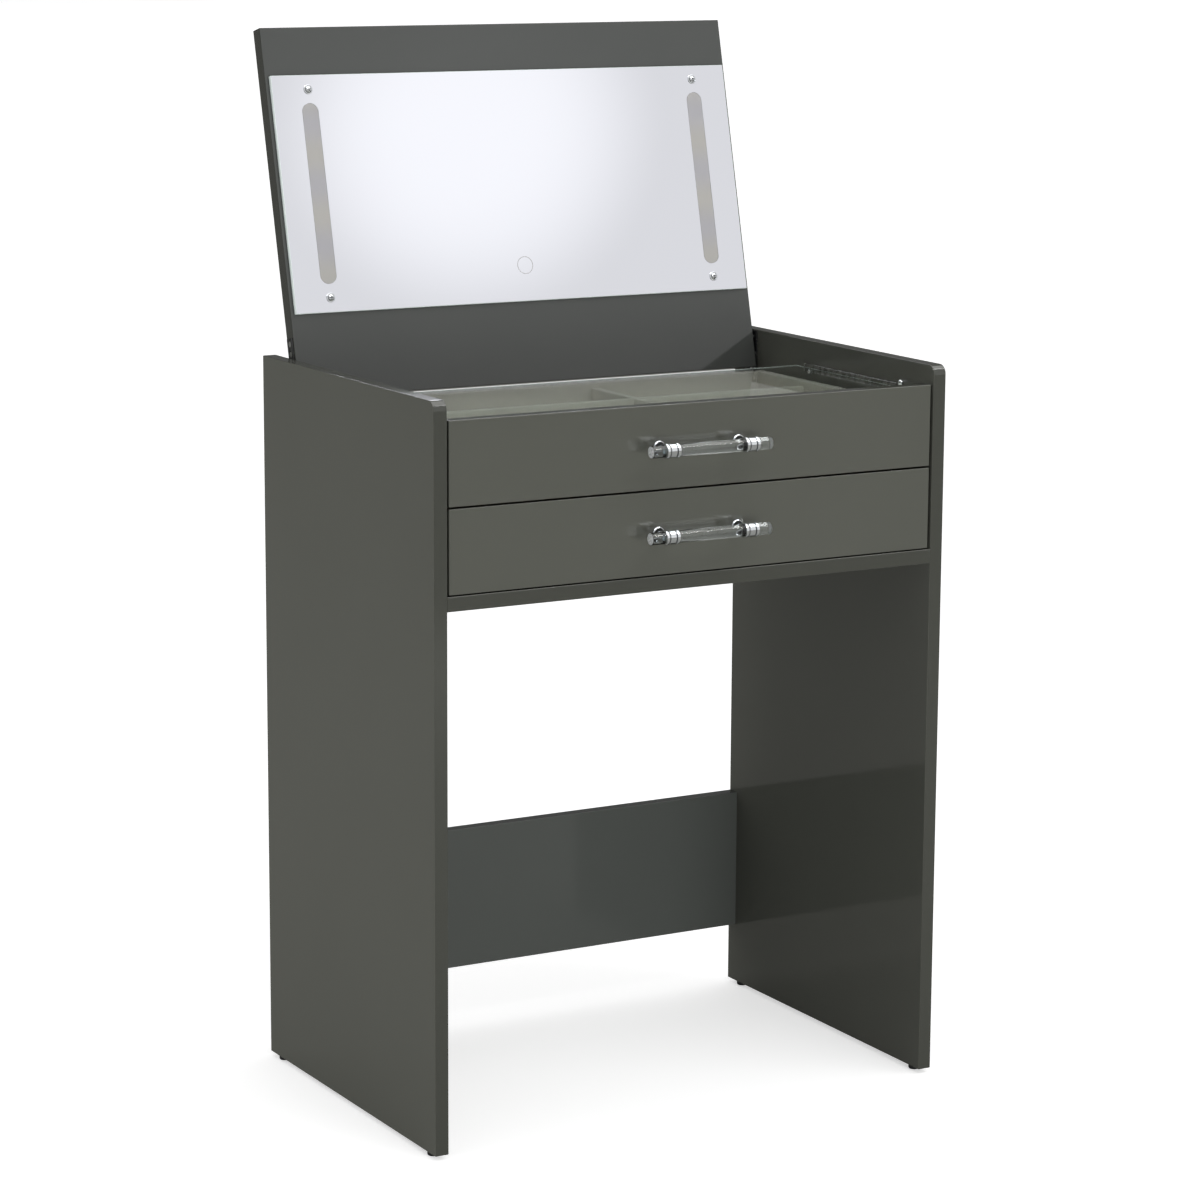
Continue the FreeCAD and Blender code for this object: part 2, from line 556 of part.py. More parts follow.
def drawer_front(doc, label, base):
    """The lacquered front with a groove for the bottom and holes for the handle screws."""
    width = f"(2 * ({INNER} - Dims.side_reveal))"
    size = (width, "Dims.board", "Dims.front_height")
    front = pad_board(doc, f"{label}_drawer_front", ("0", "0", "0"), size)
    put(front, (f"(-{width} / 2)", f"({CASE_Y} + Dims.front_setback)", base))
    ease_all(front, "Dims.edge_radius")
    reach = f"({BOX_INSIDE_X} + Dims.groove_depth)"
    low = (f"({width} / 2 - {reach})", "(Dims.box_lift + Dims.groove_lift)")
    groove = (f"(2 * {reach})", "(Dims.bottom_thickness + Dims.groove_play)")
    mill(front, "XZ_Plane", "-Dims.board", low, groove, "Dims.groove_depth", True)
    middle = "Dims.front_height / 2"
    holes = [(f"({width} / 2 + {sign} * Dims.post_spacing / 2)", middle) for _, sign in SIDES]
    bore(front, "XZ_Plane", "0", holes, "Dims.handle_screw_diameter + Dims.bore_slack", "Dims.board", False)
    bore(front, "XZ_Plane", "-Dims.board", holes, "Dims.screw_head_diameter + 2 * Dims.bore_slack",
         "Dims.screw_head_height", True)
    return front


def drawer_side(doc, label, side, sign, base):
    """A side of the drawer box, grooved inside for the bottom."""
    size = ("Dims.box_board", "Dims.box_depth", "Dims.box_height")
    panel = pad_board(doc, f"{label}_drawer_{side}_side", ("0", "0", "0"), size)
    put(panel, (mirrored(sign, BOX_INSIDE_X, "Dims.box_board"), BOX_Y, f"({base} + Dims.box_lift)"))
    face = "Dims.box_board" if sign < 0 else "0"
    mill(panel, "YZ_Plane", face, ("0", "Dims.groove_lift"),
         ("Dims.box_depth", "(Dims.bottom_thickness + Dims.groove_play)"), "Dims.groove_depth", sign > 0)
    return panel


def drawer_back(doc, label, base):
    """The back of the drawer box, grooved inside for the bottom."""
    width = f"(2 * {BOX_INSIDE_X})"
    size = (width, "Dims.box_board", "Dims.box_height")
    panel = pad_board(doc, f"{label}_drawer_back", ("0", "0", "0"), size)
    back_y = f"({BOX_Y} + Dims.box_depth - Dims.box_board)"
    put(panel, (f"(-{width} / 2)", back_y, f"({base} + Dims.box_lift)"))
    mill(panel, "XZ_Plane", "0", ("0", "Dims.groove_lift"),
         (width, "(Dims.bottom_thickness + Dims.groove_play)"), "Dims.groove_depth", False)
    return panel


def drawer_bottom(doc, label, base):
    """The thin bottom that sits in the grooves of all four walls."""
    tongue = "(Dims.groove_depth - Dims.bottom_play)"
    half = f"({BOX_INSIDE_X} + {tongue})"
    depth = f"(Dims.box_depth - Dims.box_board + 2 * {tongue})"
    size = (f"(2 * {half})", depth, "Dims.bottom_thickness")
    bottom = pad_board(doc, f"{label}_drawer_bottom", ("0", "0", "0"), size)
    height = f"({base} + Dims.box_lift + Dims.groove_lift + Dims.groove_play / 2)"
    return put(bottom, (f"-{half}", f"({BOX_Y} - {tongue})", height))


def handle_parts(doc, label, base):
    """The clear bar, its two collared posts and the screws behind the front."""
    face = f"({CASE_Y} + Dims.front_setback)"
    bar_y = f"({face} - Dims.handle_standoff)"
    height = f"({base} + Dims.front_height / 2)"
    bar = rod(doc, f"{label}_handle_bar", ("(-Dims.bar_length / 2)", bar_y, height), "x",
              "Dims.bar_diameter", "Dims.bar_length")
    parts = [bar]
    screws = []
    for side, sign in SIDES:
        name = f"{label}_{side}_handle_post"
        x = f"({sign} * Dims.post_spacing / 2)"
        stem_length = "(Dims.handle_standoff - Dims.bar_diameter / 2)"
        stem = rod(doc, f"{name}_stem", (x, f"({face} - {stem_length})", height), "y", "Dims.stem_diameter",
                   stem_length)
        flange = rod(doc, f"{name}_flange", (x, f"({face} - Dims.flange_thickness)", height), "y",
                     "Dims.flange_diameter", "Dims.flange_thickness")
        left = f"({x} - Dims.collar_width / 2)"
        band = rod(doc, f"{name}_band", (left, bar_y, height), "x", BAND, "Dims.collar_width")
        rings = [rod(doc, f"{name}_ring_{index}", (ring_x, bar_y, height), "x", RING, "Dims.ring_width")
                 for index, ring_x in enumerate((left, f"({x} + Dims.collar_width / 2 - Dims.ring_width)"))]
        inside = rod(doc, f"{name}_bore", (f"({left} - Dims.overshoot)", bar_y, height), "x",
                     "(Dims.bar_diameter + Dims.bore_slack)", "(Dims.collar_width + 2 * Dims.overshoot)")
        deep = "(Dims.handle_screw_bite + Dims.bore_slack)"
        bite = rod(doc, f"{name}_thread", (x, f"({face} - {deep})", height), "y",
                   "(Dims.handle_screw_diameter + Dims.bore_slack)", f"({deep} + Dims.overshoot)")
        parts.append(cut(doc, name, fuse(doc, f"{name}_metal", [stem, flange, band, *rings]), [inside, bite]))
        seat = "(Dims.board - Dims.screw_head_height)"
        shank = rod(doc, f"{name}_screw_shank", (x, f"({face} - Dims.handle_screw_bite)", height), "y",
                    "Dims.handle_screw_diameter", f"(Dims.handle_screw_bite + {seat})")
        head = rod(doc, f"{name}_screw_head", (x, f"({face} + {seat})", height), "y",
                   "Dims.screw_head_diameter", "Dims.screw_head_height")
        screws.append(fuse(doc, f"{name}_screw", [shank, head]))
    parts.append(group(doc, f"{label}_handle_screws", screws))
    return parts


def dividers(doc, base):
    """The two boards that part the upper drawer, halved over each other where they cross."""
    floor_z = f"({base} + Dims.box_lift + Dims.groove_lift + Dims.groove_play / 2 + Dims.bottom_thickness)"
    height = f"({base} + Dims.box_lift + Dims.box_height - Dims.divider_drop - {floor_z})"
    slot = "(Dims.divider_thickness + 2 * Dims.notch_play)"
    overall = "(Dims.divider_thickness + 2 * Dims.overshoot)"
    cross_y = f"({BOX_Y} - Dims.board - Dims.front_setback + Dims.cross_divider_y)"
    cross_size = (f"(2 * {BOX_INSIDE_X})", "Dims.divider_thickness", height)
    cross = box(doc, "cross_divider_board", (f"-{BOX_INSIDE_X}", cross_y, floor_z), cross_size)
    notch_low = ("(Dims.long_divider_x - Dims.notch_play)", f"({cross_y} - Dims.overshoot)",
                 f"({floor_z} + {height} / 2 - Dims.notch_play / 2)")
    notch = box(doc, "cross_divider_notch", notch_low, (slot, overall, height))
    long_depth = "(Dims.box_depth - Dims.box_board)"
    long = box(doc, "long_divider_board", ("Dims.long_divider_x", BOX_Y, floor_z),
               ("Dims.divider_thickness", long_depth, height))
    long_low = ("(Dims.long_divider_x - Dims.overshoot)", f"({cross_y} - Dims.notch_play)",
                f"({floor_z} - {height} / 2 + Dims.notch_play / 2)")
    long_notch = box(doc, "long_divider_notch", long_low, (overall, slot, height))
    return [cut(doc, "upper_cross_divider", cross, [notch]),
            cut(doc, "upper_long_divider", long, [long_notch])]


def drawer(doc, label, base):
    """Every piece that travels with one drawer."""
    z = slide_zs()[label]
    pieces = [drawer_front(doc, label, base)]
    for side, sign in SIDES:
        pieces.append(drawer_side(doc, label, side, sign, base))
        pieces.append(slide_inner(doc, label, side, sign, z))
    pieces.append(drawer_back(doc, label, base))
    pieces.append(drawer_bottom(doc, label, base))
    pieces += handle_parts(doc, label, base)
    return pieces


# ---- lid -------------------------------------------------------------------------------------------

def cap_places():
    """The four mirror screws, from the middle of the lid and from the pivot line."""
    xs = [f"({sign} * {SLOT_X})" for _, sign in SIDES]
    low = f"({MIRROR_Z} + Dims.cap_margin)"
    high = f"({MIRROR_Z} + Dims.mirror_height - Dims.cap_margin)"
    return [(x, z) for x in xs for z in (low, high)]


def slot_outline(sketch, x, play):
    """A round-ended upright slot for a light strip, its middle at x."""
    doc = sketch.Document
    width = f"(Dims.slot_width - 2 * {play})"
    middle = number(doc, x)
    radius = number(doc, width) / 2
    low = number(doc, SLOT_Z) + number(doc, "Dims.slot_width") / 2
    high = low + number(doc, "Dims.slot_length - Dims.slot_width")
    first = sketch.GeometryCount
    up = FreeCAD.Vector(0, 0, 1)
    for centre_z, start, end in ((low, 180, 360), (high, 0, 180)):
        circle = Part.Circle(FreeCAD.Vector(middle, centre_z, 0), up, radius)
        turn = FreeCAD.Units.Quantity("1 deg").getValueAs("rad").Value
        sketch.addGeometry(Part.ArcOfCircle(circle, start * turn, end * turn), False)
    corners = [FreeCAD.Vector(middle + side * radius, z, 0) for side in (1, -1) for z in (low, high)]
    sketch.addGeometry(Part.LineSegment(corners[0], corners[1]), False)
    sketch.addGeometry(Part.LineSegment(corners[3], corners[2]), False)
    joins = ((first, 2, first + 2, 1), (first + 2, 2, first + 1, 1),
             (first + 1, 2, first + 3, 1), (first + 3, 2, first, 1))
    for join in joins:
        sketch.addConstraint(Sketcher.Constraint("Tangent", *join))
    sketch.addConstraint(Sketcher.Constraint("Vertical", first + 2))
    hold(sketch, "DistanceX", (-1, 1, first, 3), x)
    hold(sketch, "DistanceY", (-1, 1, first, 3), f"({SLOT_Z} + Dims.slot_width / 2)")
    hold(sketch, "DistanceY", (first, 3, first + 1, 3), "(Dims.slot_length - Dims.slot_width)")
    hold(sketch, "Radius", (first,), f"({width} / 2)")


def lid_panel(doc):
    """The lid board with recesses for the lights, the switch, the wires and the inlet."""
    low = (f"-{LID_HALF}", LID_FACE, LID_FOOT)
    size = (f"(2 * {LID_HALF})", "Dims.lid_thickness", "Dims.lid_length")
    panel = pad_board(doc, "lid_panel", low, size)
    ease_all(panel, "Dims.edge_radius")
    face = "(Dims.lid_thickness / 2)"
    for _, sign in SIDES:
        sketch = sketch_on(panel, "XZ_Plane", face)
        slot_outline(sketch, f"({sign} * {SLOT_X})", "0")
        cut_pocket(panel, sketch, "Dims.slot_depth", False)
    half_touch = "(Dims.touch_size / 2 + Dims.part_play)"
    mill(panel, "XZ_Plane", face, (f"-{half_touch}", f"({TOUCH_Z} - {half_touch})"),
         (f"(2 * {half_touch})", f"(2 * {half_touch})"), "Dims.touch_depth", False)
    channel_low = (f"-{SLOT_X}", f"({TOUCH_Z} - Dims.wire_channel / 2)")
    mill(panel, "XZ_Plane", face, channel_low, (f"(2 * {SLOT_X})", "Dims.wire_channel"),
         "Dims.wire_channel", False)
    mill(panel, "XZ_Plane", face, ("(-Dims.wire_channel / 2)", f"({TOUCH_Z} - Dims.inlet_drop)"),
         ("Dims.wire_channel", "Dims.inlet_drop"), "Dims.wire_channel", False)
    bore(panel, "XZ_Plane", face, [("0", f"({TOUCH_Z} - Dims.inlet_drop)")],
         "(Dims.inlet_diameter + Dims.bore_slack)", "Dims.lid_thickness", False)
    bore(panel, "XZ_Plane", face, cap_places(), "(Dims.cap_shank + Dims.bore_slack)", "Dims.cap_bite", False)
    screws = [("0", "Dims.lid_screw_near"), ("0", "Dims.lid_screw_far")]
    pin = "(Dims.hinge_pin_diameter + 2 * Dims.part_play)"
    for offset, forward in ((f"-{LID_HALF}", True), (LID_HALF, False)):
        bore(panel, "YZ_Plane", offset, screws, "(Dims.hinge_screw_diameter + Dims.bore_slack)",
             "Dims.hinge_screw_bite", forward)
        bore(panel, "YZ_Plane", offset, [("0", "0")], pin, "(Dims.pin_end + Dims.overshoot)", forward)
    return put_on_lid(panel)


def mirror_plate(doc):
    """The frameless mirror, fixed by four screws."""
    low = ("(-Dims.mirror_width / 2)", f"({LID_FACE} - Dims.mirror_thickness)", MIRROR_Z)
    size = ("Dims.mirror_width", "Dims.mirror_thickness", "Dims.mirror_height")
    plate = pad_board(doc, "mirror_plate", low, size)
    ease_all(plate, "Dims.edge_radius")
    bore(plate, "XZ_Plane", "(Dims.lid_thickness / 2 + Dims.mirror_thickness)", cap_places(), "Dims.cap_hole",
         "Dims.mirror_thickness", False)
    return put_on_lid(plate)


def led_parts(doc):
    """The light strips at the bottom of their slots and the diffusers close behind the mirror."""
    strips = []
    diffusers = []
    for label, sign in SIDES:
        x = f"({sign} * {SLOT_X})"
        low = (f"({x} - Dims.strip_width / 2)",
               f"({LID_FACE} + Dims.slot_depth - Dims.strip_thickness)", f"({SLOT_Z} + Dims.strip_width / 2)")
        size = ("Dims.strip_width", "Dims.strip_thickness", "(Dims.slot_length - Dims.strip_width)")
        strips.append(box(doc, f"{label}_led_strip", low, size))
        body = doc.addObject("PartDesign::Body", f"{label}_diffuser")
        sketch = sketch_on(body, "XZ_Plane", "(Dims.lid_thickness / 2 - Dims.part_play)")
        slot_outline(sketch, x, "Dims.part_play")
        pad = body.newObject("PartDesign::Pad", f"{label}_diffuser_pad")
        pad.Profile = sketch
        pad.Reversed = True
        pad.setExpression("Length", "Dims.diffuser_thickness")
        doc.recompute()
        diffusers.append(body)
    return [put_on_lid(group(doc, "led_strips", strips)), put_on_lid(group(doc, "led_diffusers", diffusers))]


def switch_parts(doc):
    """The touch switch behind the mirror, the wires in their channels and the power inlet."""
    half = "(Dims.touch_size / 2)"
    low = (f"-{half}", f"({LID_FACE} + Dims.touch_depth - Dims.touch_thickness)", f"({TOUCH_Z} - {half})")
    size = ("Dims.touch_size", "Dims.touch_thickness", "Dims.touch_size")
    module = box(doc, "touch_switch_case", low, size)
    y = f"({LID_FACE} + Dims.wire_channel - Dims.wire_diameter / 2)"
    length = f"({SLOT_X} - {half} - Dims.slot_width / 2)"
    wires = []
    for label, sign in SIDES:
        start = (mirrored(sign, half, length), y, TOUCH_Z)
        wires.append(rod(doc, f"{label}_led_wire", start, "x", "Dims.wire_diameter", length))
    inlet_z = f"({TOUCH_Z} - Dims.inlet_drop)"
    rise = f"(Dims.inlet_drop - {half} + Dims.inlet_diameter / 4)"
    wires.append(rod(doc, "inlet_wire", ("0", y, f"({inlet_z} - Dims.inlet_diameter / 4)"), "z",
                     "Dims.wire_diameter", rise))
    inlet_y = "(Dims.lid_thickness / 2 - Dims.inlet_length)"
    barrel = rod(doc, "power_inlet_barrel", ("0", inlet_y, inlet_z), "y", "Dims.inlet_diameter",
                 "Dims.inlet_length")
    socket_y = "(Dims.lid_thickness / 2 - Dims.socket_depth)"
    socket = rod(doc, "power_inlet_socket", ("0", socket_y, inlet_z), "y", "Dims.socket_diameter",
                 "(Dims.socket_depth + Dims.overshoot)")
    inlet = cut(doc, "power_inlet", barrel, [socket])
    return [put_on_lid(group(doc, "touch_switch", [module])), put_on_lid(group(doc, "led_wiring", wires)),
            put_on_lid(inlet)]


def mirror_fasteners(doc):
    """The mirror's screws and the bright caps over them."""
    screws = []
    caps = []
    mirror_y = f"({LID_FACE} - Dims.mirror_thickness)"
    for index, (x, z) in enumerate(cap_places()):
        screws.append(rod(doc, f"mirror_screw_{index}", (x, mirror_y, z), "y", "Dims.cap_shank",
                          "(Dims.mirror_thickness + Dims.cap_bite)"))
        caps.append(rod(doc, f"mirror_cap_{index}", (x, f"({mirror_y} - Dims.cap_height)", z), "y",
                        "Dims.cap_diameter", "Dims.cap_height"))
    return [put_on_lid(group(doc, "mirror_screws", screws)),
            put_on_lid(group(doc, "mirror_screw_caps", caps))]


# ---- lid hinges ------------------------------------------------------------------------------------

def case_hinge_plate(doc, label, sign):
    """The plate on the side panel, with the lug that the lid's stop pin leans on."""
    name = f"{label}_case_hinge_plate"
    steel = "Dims.hinge_steel"
    low = (mirrored(sign, f"({INNER} - {steel})", steel), f"({PIVOT_Y} - Dims.plate_width / 2)",
           f"({PIVOT_Z} - Dims.plate_bottom)")
    size = (steel, "Dims.plate_width", "(Dims.plate_bottom + Dims.plate_top)")
    plate = box(doc, f"{name}_plate", low, size)
    lug_x = mirrored(sign, f"({INNER} - {steel} - Dims.lug_reach)", "Dims.lug_reach")
    lug_y = f"({PIVOT_Y} + {STOP_Y} - Dims.stop_diameter / 2 - Dims.stop_gap - Dims.lug_width)"
    lug = box(doc, f"{name}_lug", (lug_x, lug_y, f"({PIVOT_Z} + {STOP_Z} - Dims.lug_height / 2)"),
              ("Dims.lug_reach", "Dims.lug_width", "Dims.lug_height"))
    holes = [inward_rod(doc, f"{name}_pin_hole", sign, INNER, (PIVOT_Y, PIVOT_Z),
                        "(Dims.hinge_pin_diameter + Dims.bore_slack)", "Dims.overshoot",
                        f"({steel} + Dims.overshoot)")]
    for index, drop in enumerate(("Dims.case_screw_near", "Dims.case_screw_far")):
        holes.append(inward_rod(doc, f"{name}_hole_{index}", sign, INNER, (PIVOT_Y, f"({PIVOT_Z} - {drop})"),
                                "(Dims.hinge_screw_head + Dims.bore_slack)", "Dims.overshoot",
                                f"({steel} + Dims.overshoot)"))
    return cut(doc, name, fuse(doc, f"{name}_metal", [plate, lug]), holes)


def case_hinge_fasteners(doc):
    """The flush screws of the case plates and the pivot pins that they carry."""
    screws = []
    pins = []
    flush = "(Dims.hinge_steel - Dims.bore_slack)"
    for label, sign in SIDES:
        for index, drop in enumerate(("Dims.case_screw_near", "Dims.case_screw_far")):
            place = (PIVOT_Y, f"({PIVOT_Z} - {drop})")
            name = f"{label}_case_screw_{index}"
            head = inward_rod(doc, f"{name}_head", sign, INNER, place, "Dims.hinge_screw_head", "0", flush)
            shank = inward_rod(doc, f"{name}_shank", sign, INNER, place, "Dims.hinge_screw_diameter",
                               "Dims.hinge_screw_bite", flush)
            screws.append(fuse(doc, name, [head, shank]))
        pins.append(inward_rod(doc, f"{label}_hinge_pin", sign, INNER, (PIVOT_Y, PIVOT_Z),
                               "Dims.hinge_pin_diameter", "Dims.pin_end", "(Dims.lid_gap + Dims.pin_end)"))
    return [group(doc, "case_hinge_screws", screws), group(doc, "hinge_pins", pins)]


def lid_hinge_plate(doc, label, sign):
    """The plate on the lid's edge, with the running hole of the pivot and the stop pin."""
    name = f"{label}_lid_hinge_plate"
    steel = "Dims.hinge_steel"
    low = (mirrored(sign, LID_HALF, steel), "(-Dims.lid_plate_width / 2)", "(-Dims.lid_plate_low)")
    size = (steel, "Dims.lid_plate_width", "(Dims.lid_plate_low + Dims.lid_plate_high)")
    plate = box(doc, f"{name}_plate", low, size)
    stop = rod(doc, f"{name}_stop", (mirrored(sign, LID_HALF, f"({steel} + Dims.stop_reach)"), "0",
                                     "(-Dims.stop_drop)"), "x", "Dims.stop_diameter",
               f"({steel} + Dims.stop_reach)")
    through = f"({steel} + 2 * Dims.overshoot)"
    start = mirrored(sign, f"({LID_HALF} - Dims.overshoot)", through)
    holes = [rod(doc, f"{name}_pin_hole", (start, "0", "0"), "x",
                 "(Dims.hinge_pin_diameter + 2 * Dims.running_clearance)", through)]
    for index, rise in enumerate(("Dims.lid_screw_near", "Dims.lid_screw_far")):
        holes.append(rod(doc, f"{name}_hole_{index}", (start, "0", rise), "x",
                         "(Dims.hinge_screw_head + Dims.bore_slack)", through))
    metal = fuse(doc, f"{name}_metal", [plate, stop])
    return put_on_lid(cut(doc, name, metal, holes))


def lid_hinge_screws(doc):
    """The flush screws of the lid plates."""
    screws = []
    flush = "(Dims.hinge_steel - Dims.bore_slack)"
    for label, sign in SIDES:
        for index, rise in enumerate(("Dims.lid_screw_near", "Dims.lid_screw_far")):
            name = f"{label}_lid_screw_{index}"
            head = rod(doc, f"{name}_head", (mirrored(sign, LID_HALF, flush), "0", rise), "x",
                       "Dims.hinge_screw_head", flush)
            low = f"({LID_HALF} - Dims.hinge_screw_bite)"
            length = f"(Dims.hinge_screw_bite + {flush})"
            shank = rod(doc, f"{name}_shank", (mirrored(sign, low, length), "0", rise), "x",
                        "Dims.hinge_screw_diameter", length)
            screws.append(fuse(doc, name, [head, shank]))
    return put_on_lid(group(doc, "lid_hinge_screws", screws))


# ---- whole table -----------------------------------------------------------------------------------

def build_case(doc):
    """Everything that stays still."""
    parts = [side_panel(doc, label, sign) for label, sign in SIDES]
    parts += [bottom_shelf(doc), modesty_panel(doc), case_back_panel(doc), foot_glides(doc)]
    parts += cam_fittings(doc)
    parts += [glass_top(doc), *glass_holders(doc), slide_screws(doc)]
    for label, z in slide_zs().items():
        parts += [slide_outer(doc, label, side, sign, z) for side, sign in SIDES]
    parts += [case_hinge_plate(doc, label, sign) for label, sign in SIDES]
    return parts + case_hinge_fasteners(doc)


def build_lid(doc):
    """Everything that turns with the lid."""
    parts = [lid_panel(doc), mirror_plate(doc), *led_parts(doc), *switch_parts(doc), *mirror_fasteners(doc)]
    parts += [lid_hinge_plate(doc, label, sign) for label, sign in SIDES]
    return parts + [lid_hinge_screws(doc)]


def build_drawers(doc):
    """Both drawers and the retainers that run between them and the case."""
    parts = drawer(doc, "upper", UPPER_Z) + dividers(doc, UPPER_Z) + drawer(doc, "lower", LOWER_Z)
    return parts + [slide_retainers(doc, label, z) for label, z in slide_zs().items()]


def check_and_write(doc, parts):
    """Stops on any failed object or bad shape, then writes one file per sub-part."""
    for thing in doc.Objects:
        if "Invalid" in thing.State or "Error" in thing.State:
            raise ValueError(f"{thing.Name} failed: {thing.State}")
    for part in parts:
        if part.Shape.isNull() or not part.Shape.isValid():
            raise ValueError(f"{part.Label} has a bad shape")
    os.makedirs("parts", exist_ok=True)
    for part in parts:
        part.Shape.exportStep(f"parts/{part.Label}.step")
    print(len(parts), "sub-parts written")


def main():
    doc = FreeCAD.newDocument("VanityTable")
    fill_sheet(doc)
    parts = build_case(doc) + build_lid(doc) + build_drawers(doc)
    doc.recompute()
    check_and_write(doc, parts)


main()
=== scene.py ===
"""Looks of a small dressing table: lacquered boards, two drawers with clear bar handles, a glass plate
over the upper drawer and a tilting lid that carries a mirror with two light windows.

Lengths in the classes are millimetres; Blender works in metres.
"""

from __future__ import annotations

import json
import logging
import math
from dataclasses import dataclass, field
from enum import Enum
from typing import Any, Callable, Iterable, Mapping, Sequence

import bpy
from mathutils import Euler, Matrix, Vector

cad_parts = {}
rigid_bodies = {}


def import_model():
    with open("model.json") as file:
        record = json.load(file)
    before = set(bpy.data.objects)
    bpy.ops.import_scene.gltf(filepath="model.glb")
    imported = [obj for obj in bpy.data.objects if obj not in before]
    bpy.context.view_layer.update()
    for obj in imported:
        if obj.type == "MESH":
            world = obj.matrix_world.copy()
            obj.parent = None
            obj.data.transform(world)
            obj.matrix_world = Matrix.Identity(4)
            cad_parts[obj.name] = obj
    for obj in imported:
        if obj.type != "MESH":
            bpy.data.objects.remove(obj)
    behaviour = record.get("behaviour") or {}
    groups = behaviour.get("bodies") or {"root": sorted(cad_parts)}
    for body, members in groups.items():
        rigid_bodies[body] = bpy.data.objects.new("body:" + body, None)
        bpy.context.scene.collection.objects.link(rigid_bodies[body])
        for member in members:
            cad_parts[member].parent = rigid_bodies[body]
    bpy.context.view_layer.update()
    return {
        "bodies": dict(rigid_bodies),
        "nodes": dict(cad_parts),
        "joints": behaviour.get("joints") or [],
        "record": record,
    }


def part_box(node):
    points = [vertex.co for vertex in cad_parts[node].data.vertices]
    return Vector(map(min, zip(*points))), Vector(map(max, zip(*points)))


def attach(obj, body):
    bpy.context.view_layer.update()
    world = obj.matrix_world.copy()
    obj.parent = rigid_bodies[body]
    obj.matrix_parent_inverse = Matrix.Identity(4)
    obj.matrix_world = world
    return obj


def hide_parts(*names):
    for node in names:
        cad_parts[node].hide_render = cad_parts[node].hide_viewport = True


LOG = logging.getLogger("dressing_table")
MM = 0.001
LID_LEAN = 13.5


class Axis(Enum):
    """The direction in which a turned piece points, as the turn from +Z."""

    RIGHT = (0.0, 90.0, 0.0)
    LEFT = (0.0, -90.0, 0.0)
    FRONT = (90.0, 0.0, 0.0)
    BACK = (-90.0, 0.0, 0.0)
    UP = (0.0, 0.0, 0.0)
    DOWN = (180.0, 0.0, 0.0)

    def turn(self) -> Matrix:
        """The rotation that takes +Z to this direction."""
        return Euler([math.radians(angle) for angle in self.value]).to_matrix().to_4x4()


class Side(Enum):
    """A side of the table, with the sign of its x."""

    LEFT = -1
    RIGHT = 1

    @property
    def label(self) -> str:
        """The side's name as the nodes spell it."""
        return self.name.lower()


# ---- colour and nodes ------------------------------------------------------------------------------


def linear(colour: str) -> tuple[float, float, float, float]:
    """Turns an sRGB hex colour to linear light.

    Args:
        colour: six hex digits after a hash sign.

    Returns:
        Red, green, blue and an alpha of one.
    """
    parts = [int(colour[start:start + 2], 16) / 255 for start in (1, 3, 5)]
    red, green, blue = (p / 12.92 if p <= 0.04045 else ((p + 0.055) / 1.055) ** 2.4 for p in parts)
    return (red, green, blue, 1.0)


def per_metre(size: float) -> float:
    """The texture scale at which one pattern step is size millimetres long."""
    return 1.0 / (size * MM)


def add_node(tree: bpy.types.NodeTree, kind: str, inputs: Mapping[Any, Any] | None = None,
             **settings: Any) -> bpy.types.Node:
    """Adds a node with its settings and links.

    Args:
        tree: the node tree that takes the node.
        kind: the node's type name.
        inputs: a value or an output socket for each named or numbered input.
        settings: attributes of the node itself.

    Returns:
        The new node.
    """
    node = tree.nodes.new(kind)
    for name, value in settings.items():
        setattr(node, name, value)
    for name, value in (inputs or {}).items():
        if isinstance(value, bpy.types.NodeSocket):
            tree.links.new(value, node.inputs[name])
        else:
            node.inputs[name].default_value = value
    return node


